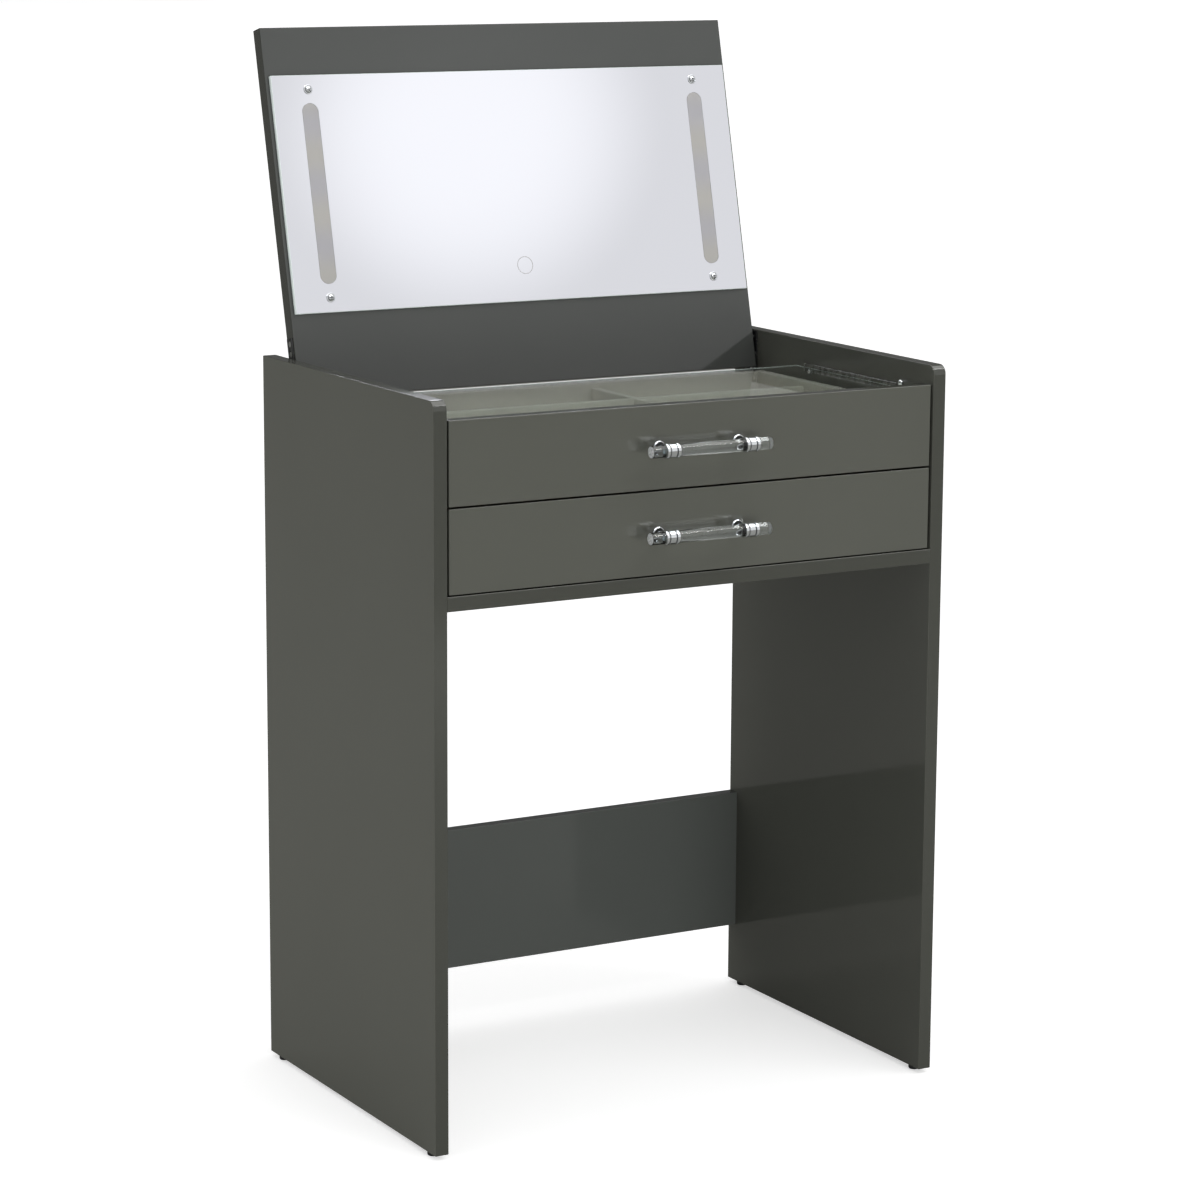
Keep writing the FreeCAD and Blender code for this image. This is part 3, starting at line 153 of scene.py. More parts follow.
@dataclass(frozen=True)
class Finish:
    """A surface finish, built once and shared by all pieces that have it."""

    name: str
    colour: str
    roughness: float

    def fixed(self) -> dict[str, Any]:
        """Shader values that are the same all over."""
        return {}

    def pattern(self, tree: bpy.types.NodeTree, place: bpy.types.NodeSocket) -> dict[str, Any]:
        """Adds the pattern nodes.

        Args:
            tree: the material's node tree.
            place: object coordinates in metres.

        Returns:
            Output sockets for the shader's inputs.
        """
        return {}

    def surface(self, tree: bpy.types.NodeTree, shader: bpy.types.Node) -> bpy.types.NodeSocket:
        """What the material's output shows, from its main shader."""
        return shader.outputs["BSDF"]

    def material(self) -> bpy.types.Material:
        """The material of this finish, made on first use."""
        known = bpy.data.materials.get(self.name)
        if known:
            return known
        made = bpy.data.materials.new(self.name)
        made.use_nodes = True
        tree = made.node_tree
        tree.nodes.clear()
        place = add_node(tree, "ShaderNodeTexCoord").outputs["Object"]
        inputs = {"Base Color": linear(self.colour), "Roughness": self.roughness}
        inputs.update(self.fixed())
        inputs.update(self.pattern(tree, place))
        shader = add_node(tree, "ShaderNodeBsdfPrincipled", inputs)
        add_node(tree, "ShaderNodeOutputMaterial", {"Surface": self.surface(tree, shader)})
        return made

    def tones(self, tree: bpy.types.NodeTree, place: bpy.types.NodeSocket, other: str, size: float,
              detail: float = 2.0) -> bpy.types.NodeSocket:
        """A cloudy mix of the finish's colour with another one.

        Args:
            tree: the material's node tree.
            place: object coordinates in metres.
            other: the second colour as sRGB hex.
            size: the size of the clouds in millimetres.
            detail: how many finer layers the clouds have.

        Returns:
            The colour socket.
        """
        cloud = add_node(tree, "ShaderNodeTexNoise",
                         {"Vector": place, "Scale": per_metre(size), "Detail": detail})
        mix = add_node(tree, "ShaderNodeMix", {0: cloud.outputs["Fac"], 6: linear(self.colour),
                                               7: linear(other)}, data_type="RGBA")
        return mix.outputs[2]

    def uneven(self, tree: bpy.types.NodeTree, place: bpy.types.NodeSocket, size: float,
               low: float, high: float) -> bpy.types.NodeSocket:
        """A roughness that wanders between two values over patches of size millimetres."""
        cloud = add_node(tree, "ShaderNodeTexNoise",
                         {"Vector": place, "Scale": per_metre(size), "Detail": 3.0})
        spread = add_node(tree, "ShaderNodeMapRange",
                          {"Value": cloud.outputs["Fac"], "From Min": 0.3, "From Max": 0.7,
                           "To Min": low, "To Max": high})
        return spread.outputs["Result"]

    def relief(self, tree: bpy.types.NodeTree, height: bpy.types.NodeSocket, depth: float,
               strength: float) -> bpy.types.NodeSocket:
        """The normal of a height pattern that is depth millimetres deep."""
        bump = add_node(tree, "ShaderNodeBump",
                        {"Height": height, "Distance": depth * MM, "Strength": strength})
        return bump.outputs["Normal"]


@dataclass(frozen=True)
class GlossLacquer(Finish):
    """Sprayed polyurethane lacquer on board: a deep, sharp gloss over a faint orange peel."""

    name: str = "sprayed_grey_lacquer"
    colour: str = "#4b4c46"
    roughness: float = 0.14
    cloud: str = "#4e4f49"
    peel: float = 9.0

    def fixed(self) -> dict[str, Any]:
        return {"IOR": 1.48}

    def pattern(self, tree: bpy.types.NodeTree, place: bpy.types.NodeSocket) -> dict[str, Any]:
        # Real orange peel has waves of about 3 mm; these are wider, so that they show.
        peel = add_node(tree, "ShaderNodeTexNoise",
                        {"Vector": place, "Scale": per_metre(self.peel), "Detail": 0.0})
        return {"Base Color": self.tones(tree, place, self.cloud, 180.0),
                "Roughness": self.uneven(tree, place, 45.0, 0.06, 0.1),
                "Normal": self.relief(tree, peel.outputs["Fac"], 0.01, 0.2)}


@dataclass(frozen=True)
class BandedLacquer(GlossLacquer):
    """The same lacquer with painted shade on a board's narrow edges: faces that point along across take the
    darker band colour.
    """

    name: str = "sprayed_grey_lacquer_banded"
    # band is the colour of the painted shade on the narrow edges.
    band: str = "#3c3d38"
    across: tuple[float, float, float] = (0.0, 1.0, 0.0)

    def pattern(self, tree: bpy.types.NodeTree, place: bpy.types.NodeSocket) -> dict[str, Any]:
        found = super().pattern(tree, place)
        # Faces that point along across get the painted shade.
        facing = add_node(tree, "ShaderNodeTexCoord").outputs["Normal"]
        along = add_node(tree, "ShaderNodeVectorMath", {0: facing, 1: self.across}, operation="DOT_PRODUCT")
        aside = add_node(tree, "ShaderNodeMath", {0: along.outputs["Value"]}, operation="ABSOLUTE")
        edge = add_node(tree, "ShaderNodeMath", {0: aside.outputs[0], 1: 0.8}, operation="GREATER_THAN")
        mix = add_node(tree, "ShaderNodeMix", {0: edge.outputs[0], 6: found["Base Color"],
                                               7: linear(self.band)}, data_type="RGBA")
        found["Base Color"] = mix.outputs[2]
        return found


@dataclass(frozen=True)
class LinerFoil(Finish):
    """Paper foil with a printed linen weave on the drawer boards: soft, light and nearly matt."""

    name: str = "linen_paper_foil"
    colour: str = "#dcd9d0"
    roughness: float = 0.55
    thread: float = 1.4

    def pattern(self, tree: bpy.types.NodeTree, place: bpy.types.NodeSocket) -> dict[str, Any]:
        bands = []
        for direction in ("X", "Y", "Z"):
            band = add_node(tree, "ShaderNodeTexWave",
                            {"Vector": place, "Scale": per_metre(self.thread) / 6.2832,
                             "Distortion": 1.2, "Detail": 1.0}, bands_direction=direction)
            bands.append(band.outputs["Fac"])
        cross = add_node(tree, "ShaderNodeMath", {0: bands[0], 1: bands[1]}, operation="ADD")
        weave = add_node(tree, "ShaderNodeMath", {0: cross.outputs[0], 1: bands[2]}, operation="ADD")
        mix = add_node(tree, "ShaderNodeMix", {0: weave.outputs[0], 6: linear("#c9c6bc"),
                                               7: linear(self.colour)}, data_type="RGBA")
        return {"Base Color": mix.outputs[2], "Roughness": self.uneven(tree, place, 60.0, 0.5, 0.62),
                "Normal": self.relief(tree, weave.outputs[0], 0.02, 0.1)}


@dataclass(frozen=True)
class FloatGlass(Finish):
    """Float glass: clear with the slight green of iron, and a faint roller wave."""

    name: str = "float_glass"
    colour: str = "#f4f8f5"
    roughness: float = 0.0

    def fixed(self) -> dict[str, Any]:
        return {"IOR": 1.52, "Transmission Weight": 1.0}

    def surface(self, tree: bpy.types.NodeTree, shader: bpy.types.Node) -> bpy.types.NodeSocket:
        """Lets the lamps' light through to what lies under the glass."""
        way = add_node(tree, "ShaderNodeBsdfTransparent", {"Color": linear("#eff5f1")})
        lamp = add_node(tree, "ShaderNodeLightPath").outputs["Is Shadow Ray"]
        mix = add_node(tree, "ShaderNodeMixShader",
                       {0: lamp, 1: shader.outputs["BSDF"], 2: way.outputs["BSDF"]})
        return mix.outputs["Shader"]

    def pattern(self, tree: bpy.types.NodeTree, place: bpy.types.NodeSocket) -> dict[str, Any]:
        wave = add_node(tree, "ShaderNodeTexNoise",
                        {"Vector": place, "Scale": per_metre(120.0), "Detail": 0.0})
        return {"Normal": self.relief(tree, wave.outputs["Fac"], 0.02, 0.2)}


@dataclass(frozen=True)
class CastAcrylic(Finish):
    """Cast and flame-polished acrylic rod: water clear, with a faint cloudiness from the casting."""

    name: str = "cast_acrylic"
    colour: str = "#fafcfc"
    roughness: float = 0.0

    def fixed(self) -> dict[str, Any]:
        return {"IOR": 1.49, "Transmission Weight": 1.0}

    def pattern(self, tree: bpy.types.NodeTree, place: bpy.types.NodeSocket) -> dict[str, Any]:
        return {"Base Color": self.tones(tree, place, "#eef4f4", 25.0)}


@dataclass(frozen=True)
class SawnAcrylic(Finish):
    """The rod's sawn and lightly polished ends: clear material that scatters white at its surface."""

    name: str = "sawn_acrylic_end"
    colour: str = "#f2f4f4"
    roughness: float = 0.3

    def fixed(self) -> dict[str, Any]:
        return {"IOR": 1.49, "Transmission Weight": 0.35}

    def pattern(self, tree: bpy.types.NodeTree, place: bpy.types.NodeSocket) -> dict[str, Any]:
        saw = add_node(tree, "ShaderNodeTexNoise", {"Vector": place, "Scale": per_metre(1.6), "Detail": 2.0})
        return {"Base Color": self.tones(tree, place, "#c4c8c9", 3.0),
                "Roughness": self.uneven(tree, place, 2.0, 0.2, 0.4),
                "Normal": self.relief(tree, saw.outputs["Fac"], 0.05, 0.4)}


@dataclass(frozen=True)
class Chrome(Finish):
    """Bright chrome plate on turned brass: mirror sharp, with a trace of polishing haze."""

    name: str = "bright_chrome_plate"
    colour: str = "#e4e6e8"
    roughness: float = 0.05

    def fixed(self) -> dict[str, Any]:
        return {"Metallic": 1.0}

    def pattern(self, tree: bpy.types.NodeTree, place: bpy.types.NodeSocket) -> dict[str, Any]:
        return {"Base Color": self.tones(tree, place, "#dadde0", 6.0),
                "Roughness": self.uneven(tree, place, 4.0, 0.03, 0.08)}


@dataclass(frozen=True)
class ZincPlate(Finish):
    """Zinc-plated steel: grey, half bright, with small crystals of the plating."""

    name: str = "zinc_plated_steel"
    colour: str = "#b4b8ba"
    roughness: float = 0.35

    def fixed(self) -> dict[str, Any]:
        return {"Metallic": 1.0}

    def pattern(self, tree: bpy.types.NodeTree, place: bpy.types.NodeSocket) -> dict[str, Any]:
        grain = add_node(tree, "ShaderNodeTexVoronoi", {"Vector": place, "Scale": per_metre(1.8)})
        return {"Base Color": self.tones(tree, place, "#c4c4bd", 9.0),
                "Roughness": self.uneven(tree, place, 2.5, 0.26, 0.44),
                "Normal": self.relief(tree, grain.outputs["Distance"], 0.01, 0.2)}


@dataclass(frozen=True)
class BlackEnamel(Finish):
    """Stove enamel on pressed steel: black and satin, with the soft waviness of a dipped coat; its near-black
    is painted shade for the narrow hinge gap beside the lid.
    """

    name: str = "black_enamel_gap_shade"
    colour: str = "#131415"
    roughness: float = 0.3

    def fixed(self) -> dict[str, Any]:
        return {"IOR": 1.5}

    def pattern(self, tree: bpy.types.NodeTree, place: bpy.types.NodeSocket) -> dict[str, Any]:
        wave = add_node(tree, "ShaderNodeTexNoise", {"Vector": place, "Scale": per_metre(3.0), "Detail": 1.0})
        return {"Base Color": self.tones(tree, place, "#1c1d1e", 7.0),
                "Roughness": self.uneven(tree, place, 4.0, 0.24, 0.38),
                "Normal": self.relief(tree, wave.outputs["Fac"], 0.02, 0.2)}


@dataclass(frozen=True)
class SilveredGlass(Finish):
    """Silvered float glass: a cool, sharp mirror with hardly any haze."""

    name: str = "silvered_glass"
    colour: str = "#e3e4ea"
    roughness: float = 0.01

    def fixed(self) -> dict[str, Any]:
        return {"Metallic": 1.0}

    def pattern(self, tree: bpy.types.NodeTree, place: bpy.types.NodeSocket) -> dict[str, Any]:
        return {"Roughness": self.uneven(tree, place, 80.0, 0.005, 0.02)}


@dataclass(frozen=True)
class GroundEdge(Finish):
    """Ground and polished glass edge: pale, cool and a little milky."""

    name: str = "ground_glass_edge"
    colour: str = "#dfe5e4"
    roughness: float = 0.2

    def fixed(self) -> dict[str, Any]:
        return {"IOR": 1.52, "Coat Weight": 0.5, "Coat Roughness": 0.05}

    def pattern(self, tree: bpy.types.NodeTree, place: bpy.types.NodeSocket) -> dict[str, Any]:
        return {"Base Color": self.tones(tree, place, "#c9d6d2", 5.0),
                "Roughness": self.uneven(tree, place, 1.5, 0.15, 0.3)}


@dataclass(frozen=True)
class EtchedWindow(Finish):
    """Sand-etched glass over a light strip that is dimmed: grey, with soft, slightly lighter and warmer
    patches at each LED chip, which are a painted glow.
    """

    name: str = "etched_light_window"
    colour: str = "#9f9ea2"
    roughness: float = 0.42
    pitch: float = 64.0

    def pattern(self, tree: bpy.types.NodeTree, place: bpy.types.NodeSocket) -> dict[str, Any]:
        # Bands one LED chip pitch apart lighten and warm the grey: painted glow.
        chip_glow = add_node(tree, "ShaderNodeTexWave",
                         {"Vector": place, "Scale": per_metre(self.pitch) / 6.2832 * 2.0},
                         bands_direction="Z")
        mix = add_node(tree, "ShaderNodeMix", {0: chip_glow.outputs["Fac"], 6: linear(self.colour),
                                               7: linear("#a3a19d")}, data_type="RGBA")
        grit = add_node(tree, "ShaderNodeTexNoise", {"Vector": place, "Scale": per_metre(0.4)})
        return {"Base Color": mix.outputs[2], "Normal": self.relief(tree, grit.outputs["Fac"], 0.02, 0.2)}


@dataclass(frozen=True)
class Moulded(Finish):
    """Injection-moulded plastic with the fine spark-eroded grain of its tool."""

    name: str = "moulded_black_plastic"
    colour: str = "#161718"
    roughness: float = 0.45
    grain: float = 0.5

    def fixed(self) -> dict[str, Any]:
        return {"IOR": 1.53}

    def pattern(self, tree: bpy.types.NodeTree, place: bpy.types.NodeSocket) -> dict[str, Any]:
        grit = add_node(tree, "ShaderNodeTexNoise",
                        {"Vector": place, "Scale": per_metre(self.grain), "Detail": 2.0})
        lighter = "#" + "".join(f"{min(255, int(self.colour[i:i + 2], 16) + 8):02x}" for i in (1, 3, 5))
        return {"Base Color": self.tones(tree, place, lighter, 12.0),
                "Roughness": self.uneven(tree, place, 8.0, self.roughness - 0.06, self.roughness + 0.08),
                "Normal": self.relief(tree, grit.outputs["Fac"], 0.03, 0.3)}


LACQUER = GlossLacquer()
# The modesty panel's copy of the lacquer is lighter and cooler: painted fill light.
FILL_LIT_LACQUER = GlossLacquer("sprayed_grey_lacquer_rail", "#505350", cloud="#535653")
EDGE_SHADED_LACQUER = BandedLacquer()
# The lid's copy of the lacquer is darker all over and darker still on its side faces: painted shade.
LID_SHADED_LACQUER = BandedLacquer("sprayed_grey_lacquer_lid", "#434543", cloud="#464846", band="#30312d",
                           across=(1.0, 0.0, 0.0))
LINER = LinerFoil()
GLASS = FloatGlass()
ACRYLIC = CastAcrylic()
ROD_END = SawnAcrylic()
GAP_SHADE_ENAMEL = BlackEnamel()
CHROME = Chrome()
ZINC = ZincPlate()
MIRROR = SilveredGlass()
EDGE = GroundEdge()
WINDOW = EtchedWindow()
BLACK = Moulded()
DARK_GREY = Moulded("moulded_dark_grey_plastic", "#43443e", 0.25)
WHITE_BOARD = Moulded("white_circuit_board", "#e6e4da", 0.4, 1.2)
OPAL = Moulded("opal_light_diffuser", "#e9e9ec", 0.5, 0.6)
SHEATH = Moulded("wire_sheath", "#1b1b1d", 0.5, 0.8)


# ---- modelling by hand -----------------------------------------------------------------------------


def clear_selection() -> None:
    """Deselects every object."""
    bpy.ops.object.select_all(action="DESELECT")


def take(piece: bpy.types.Object) -> None:
    """Makes a piece the only selected and the active object."""
    clear_selection()
    piece.select_set(True)
    bpy.context.view_layer.objects.active = piece


def settle(piece: bpy.types.Object, place: Matrix) -> bpy.types.Object:
    """Puts a piece in place and writes the place into its mesh.

    Args:
        piece: the object, still at the origin.
        place: where it goes, in metres.

    Returns:
        The same object, at the origin, unturned and unscaled.
    """
    take(piece)
    piece.matrix_world = place @ piece.matrix_world
    bpy.ops.object.transform_apply(location=True, rotation=True, scale=True)
    return piece


def outward(piece: bpy.types.Object) -> bpy.types.Object:
    """Merges doubled points and turns every face outwards."""
    take(piece)
    bpy.ops.object.mode_set(mode="EDIT")
    bpy.ops.mesh.select_all(action="SELECT")
    bpy.ops.mesh.remove_doubles(threshold=1e-6)
    bpy.ops.mesh.normals_make_consistent(inside=False)
    bpy.ops.object.mode_set(mode="OBJECT")
    return piece


def smooth(piece: bpy.types.Object, angle: float = 35.0) -> bpy.types.Object:
    """Shades a piece smooth where its faces meet at less than angle degrees."""
    take(piece)
    bpy.ops.object.shade_smooth_by_angle(angle=math.radians(angle))
    return piece


def flattened(piece: bpy.types.Object, least: float = 20.0) -> bpy.types.Object:
    """Shades the large faces flat, so that a rounding's shading ends where the flat face starts.

    Args:
        piece: the object.
        least: the smallest area in square centimetres that counts as large.

    Returns:
        The same object.
    """
    for face in piece.data.polygons:
        if face.area > least * 1e-4:
            face.use_smooth = False
    return piece


def bevelled(piece: bpy.types.Object, radius: float, segments: int = 3,
             angle: float = 40.0) -> bpy.types.Object:
    """Rounds the sharp edges of a piece.

    Args:
        piece: the object.
        radius: the rounding in millimetres.
        segments: how many faces the rounding has.
        angle: the least angle between two faces that makes their edge sharp, in degrees.

    Returns:
        The same object.
    """
    take(piece)
    rounding = piece.modifiers.new("rounding", "BEVEL")
    rounding.width = radius * MM
    rounding.segments = segments
    rounding.limit_method = "ANGLE"
    rounding.angle_limit = math.radians(angle)
    bpy.ops.object.modifier_apply(modifier=rounding.name)
    return piece


def block(low: Sequence[float], high: Sequence[float], radius: float, segments: int = 3) -> bpy.types.Object:
    """A block with rounded edges.

    Args:
        low: its lowest corner in metres.
        high: its highest corner in metres.
        radius: the rounding in millimetres.
        segments: how many faces the rounding has.

    Returns:
        The new object.
    """
    clear_selection()
    low, high = Vector(low), Vector(high)
    bpy.ops.mesh.primitive_cube_add(size=1.0, location=(low + high) / 2, scale=high - low)
    piece = bpy.context.object
    bpy.ops.object.transform_apply(location=True, rotation=True, scale=True)
    bevelled(piece, radius, segments)
    return smooth(piece)


def turned(profile: Iterable[tuple[float, float]], place: Matrix, segments: int = 48) -> bpy.types.Object:
    """A solid as a lathe makes it, drawn up ring by ring along +Z.

    Args:
        profile: radius and height of each ring in millimetres, from the bottom to the top.
        place: where the piece goes, in metres.
        segments: how many faces go round.

    Returns:
        The new object.
    """
    rings = list(profile)
    clear_selection()
    radius, height = rings[0]
    bpy.ops.mesh.primitive_circle_add(vertices=segments, radius=radius * MM, fill_type="NGON",
                                      location=(0.0, 0.0, height * MM))
    piece = bpy.context.object
    bpy.ops.object.transform_apply(location=True, rotation=True, scale=True)
    bpy.ops.object.mode_set(mode="EDIT")
    bpy.ops.mesh.select_all(action="SELECT")
    for next_radius, next_height in rings[1:]:
        rise = (next_height - height) * MM
        bpy.ops.mesh.extrude_region_move(TRANSFORM_OT_translate={"value": (0.0, 0.0, rise)})
        grow = next_radius / radius
        bpy.ops.transform.resize(value=(grow, grow, 1.0), center_override=(0.0, 0.0, next_height * MM))
        radius, height = next_radius, next_height
    bpy.ops.object.mode_set(mode="OBJECT")
    outward(piece)
    settle(piece, place)
    return smooth(piece)


def dome(radius: float, height: float, base: float, steps: int = 7) -> list[tuple[float, float]]:
    """Rings of a dome that is radius wide at the height base and height tall, almost closed at its top."""
    turns = [math.pi / 2 * step / steps for step in range(steps)]
    rings = [(radius * math.cos(turn), base + height * math.sin(turn)) for turn in turns]
    return rings + [(radius * 0.04, base + height)]


def long_round(width: float, length: float, thickness: float, segments: int = 48) -> bpy.types.Object:
    """A plate with half-round ends, upright along Z and thick along Y, centred on the origin.

    Args:
        width: its width in millimetres.
        length: its overall length in millimetres.
        thickness: its thickness in millimetres.
        segments: how many faces go round.

    Returns:
        The new object.
    """
    clear_selection()
    bpy.ops.mesh.primitive_cylinder_add(vertices=segments, radius=width / 2 * MM, depth=thickness * MM,
                                        rotation=(math.radians(90), 0.0, 0.0))
    piece = bpy.context.object
    bpy.ops.object.transform_apply(location=True, rotation=True, scale=True)
    reach = (length - width) / 2 * MM
    for sign in (-1, 1):
        bpy.ops.object.mode_set(mode="EDIT")
        bpy.ops.mesh.select_all(action="DESELECT")
        bpy.ops.object.mode_set(mode="OBJECT")
        for vertex in piece.data.vertices:
            vertex.select = sign * vertex.co.z > 1e-6
        bpy.ops.object.mode_set(mode="EDIT")
        bpy.ops.transform.translate(value=(0.0, 0.0, sign * reach))
        bpy.ops.object.mode_set(mode="OBJECT")
    return piece


def carve(piece: bpy.types.Object, cutter: bpy.types.Object) -> bpy.types.Object:
    """Cuts one solid out of another and removes the cutter.

    Args:
        piece: the solid that is cut.
        cutter: the solid that is taken out of it.

    Returns:
        The cut piece.
    """
    take(piece)
    cut = piece.modifiers.new("cut", "BOOLEAN")
    cut.operation = "DIFFERENCE"
    cut.solver = "EXACT"
    cut.object = cutter
    bpy.ops.object.modifier_apply(modifier=cut.name)
    bpy.data.objects.remove(cutter)
    return piece


def joined(pieces: Sequence[bpy.types.Object]) -> bpy.types.Object:
    """Joins several objects to one, which keeps the first one's place."""
    take(pieces[0])
    for piece in pieces[1:]:
        piece.select_set(True)
    bpy.ops.object.join()
    return bpy.context.object


def copied(piece: bpy.types.Object, place: Matrix) -> bpy.types.Object:
    """A copy of a piece with a mesh of its own, moved by place."""
    twin = piece.copy()
    twin.data = piece.data.copy()
    bpy.context.scene.collection.objects.link(twin)
    return settle(twin, place)


def eased(node: bpy.types.Object, radius: float, segments: int = 2) -> bpy.types.Object:
    """A copy of a CAD node with whole faces and rounded edges.

    Args:
        node: the CAD node's object, which stays as it is.
        radius: the rounding in millimetres.
        segments: how many faces the rounding has.

    Returns:
        The new object.
    """
    piece = bpy.data.objects.new(f"{node.name}_eased", node.data.copy())
    piece.data.materials.clear()
    bpy.context.scene.collection.objects.link(piece)
    take(piece)
    bpy.ops.object.mode_set(mode="EDIT")
    bpy.ops.mesh.select_all(action="SELECT")
    bpy.ops.mesh.remove_doubles(threshold=1e-5)
    bpy.ops.mesh.dissolve_limited(angle_limit=math.radians(0.5))
    bpy.ops.object.mode_set(mode="OBJECT")
    bevelled(piece, radius, segments)
    return flattened(smooth(piece))


def at(x: float, y: float, z: float) -> Matrix:
    """A place in metres as a matrix."""
    return Matrix.Translation((x, y, z))


@dataclass
class Assembly:
    """What every sub-assembly shares: the frame and the ways to hand over its pieces."""

    frame: dict[str, Any]

    def node_names(self, *endings: str) -> list[str]:
        """The CAD nodes whose names end in one of the endings."""
        return sorted(name for name in self.frame["nodes"] if name.endswith(endings))

    def dress(self, names: Iterable[str], finish: Finish) -> None:
        """Gives CAD nodes that stay as they are their finish."""
        for name in names:
            node = self.frame["nodes"][name]
            if not node.material_slots:
                node.data.materials.append(None)
            for slot in node.material_slots:
                slot.material = finish.material()
            LOG.info("node %s: %s", name, finish.name)

    def hand_over(self, piece: bpy.types.Object, name: str, body: str, finish: Finish, slot: str,
                  nodes: Sequence[str] = ()) -> bpy.types.Object:
        """Names, dresses and mounts a finished piece.

        Args:
            piece: the finished object.
            name: its name.
            body: the body that it rides on.
            finish: its finish, unless it has materials already.
            slot: the record's material slot; it is not used.
            nodes: the CAD nodes that it stands for.

        Returns:
            The same object.
        """
        piece.name = name
        piece.data.name = name
        if not piece.data.materials:
            piece.data.materials.append(finish.material())
        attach(piece, body)
        if nodes:
            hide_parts(*nodes)
        LOG.info("piece %s on %s: %d faces", name, body, len(piece.data.polygons))
        return piece

    def build(self) -> None:
        """Makes and dresses everything of the sub-assembly."""
        raise NotImplementedError


# ---- case ------------------------------------------------------------------------------------------


@dataclass
class CaseBoards(Assembly):
    """The lacquered boards that stay still."""

    # These boards get painted shade on their front and back edge faces.
    banded: tuple[str, ...] = ("left_side_panel", "right_side_panel", "bottom_shelf")
    plain: tuple[str, ...] = ("case_back_panel",)
    # The modesty panel takes the lighter copy of the lacquer: painted fill light.
    rail: tuple[str, ...] = ("modesty_panel",)

    def build(self) -> None:
        """Dresses the boards."""
        self.dress(self.banded, EDGE_SHADED_LACQUER)
        self.dress(self.plain, LACQUER)
        self.dress(self.rail, FILL_LIT_LACQUER)


@dataclass
class FootGlides(Assembly):
    """Black nail-on glides under the side panels."""

    radius: float = 6.0
    height: float = 5.0
    nail_radius: float = 1.2
    nail_top: float = 19.0
    inset: float = 20.0

    def profile(self) -> list[tuple[float, float]]:
        """Rings of one glide from its rounded sole to the tip of its nail."""
        radius, height = self.radius, self.height
        sole = [(radius - 1.6, 0.0), (radius - 0.8, 0.2), (radius - 0.2, 0.9), (radius, 1.8)]
        top = [(radius, height - 0.5), (radius - 0.2, height), (self.nail_radius, height)]
        return sole + top + [(self.nail_radius, self.nail_top - 2.0), (0.2, self.nail_top)]

    def build(self) -> None:
        """Makes four glides as one piece."""
        glides = []
        for side in Side:
            low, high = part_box(f"{side.label}_side_panel")
            for y in (low.y + self.inset * MM, high.y - self.inset * MM):
                glides.append(turned(self.profile(), at((low.x + high.x) / 2, y, 0.0), 32))
        self.hand_over(joined(glides), "foot_glide_set", "case", BLACK, "glide_plastic", ["foot_glides"])


@dataclass
class CaseFittings(Assembly):
    """Cam locks with a driver cross, and the bolts and screws that hide in the boards."""

    radius: float = 7.5
    depth: float = 11.9
    cross_length: float = 8.0
    cross_width: float = 1.6
    cross_depth: float = 2.2

    def cam(self) -> bpy.types.Object:
        """One cam with its face up at the origin and its body below."""
        radius, depth = self.radius, self.depth
        rings = [(radius - 0.4, -depth), (radius, -depth + 0.4), (radius, -0.4), (radius - 0.4, 0.0),
                 (radius - 1.5, 0.0), (radius - 1.8, -0.4), (1.0, -0.4)]
        body = turned(rings, Matrix.Identity(4), 40)
        for angle in (45.0, 135.0):
            bar = block((-self.cross_length / 2 * MM, -self.cross_width / 2 * MM, -self.cross_depth * MM),
                        (self.cross_length / 2 * MM, self.cross_width / 2 * MM, MM), 0.2, 1)
            settle(bar, Matrix.Rotation(math.radians(angle), 4, "Z"))
            carve(body, bar)
        return smooth(body)

    def build(self) -> None:
        """Makes the eight cams from one and dresses the hidden metal."""
        model = self.cam()
        shelf_low, shelf_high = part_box("bottom_shelf")
        panel_low, panel_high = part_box("modesty_panel")
        inset, rise, setback = 60 * MM, 32 * MM, 34 * MM
        cams = []
        for side in Side:
            x = side.value * (shelf_high.x - setback)
            for y in (shelf_low.y + inset, shelf_high.y - inset):
                cams.append(copied(model, at(x, y, shelf_low.z) @ Axis.DOWN.turn()))
            for z in (panel_low.z + rise, panel_high.z - rise):
                cams.append(copied(model, at(x, panel_high.y, z) @ Axis.BACK.turn()))
        bpy.data.objects.remove(model)
        self.hand_over(joined(cams), "cam_lock_set", "case", ZINC, "zinc_steel", ["cam_locks"])
        self.dress(["cam_bolts", "slide_screws"], ZINC)


# ---- glass plate -----------------------------------------------------------------------------------


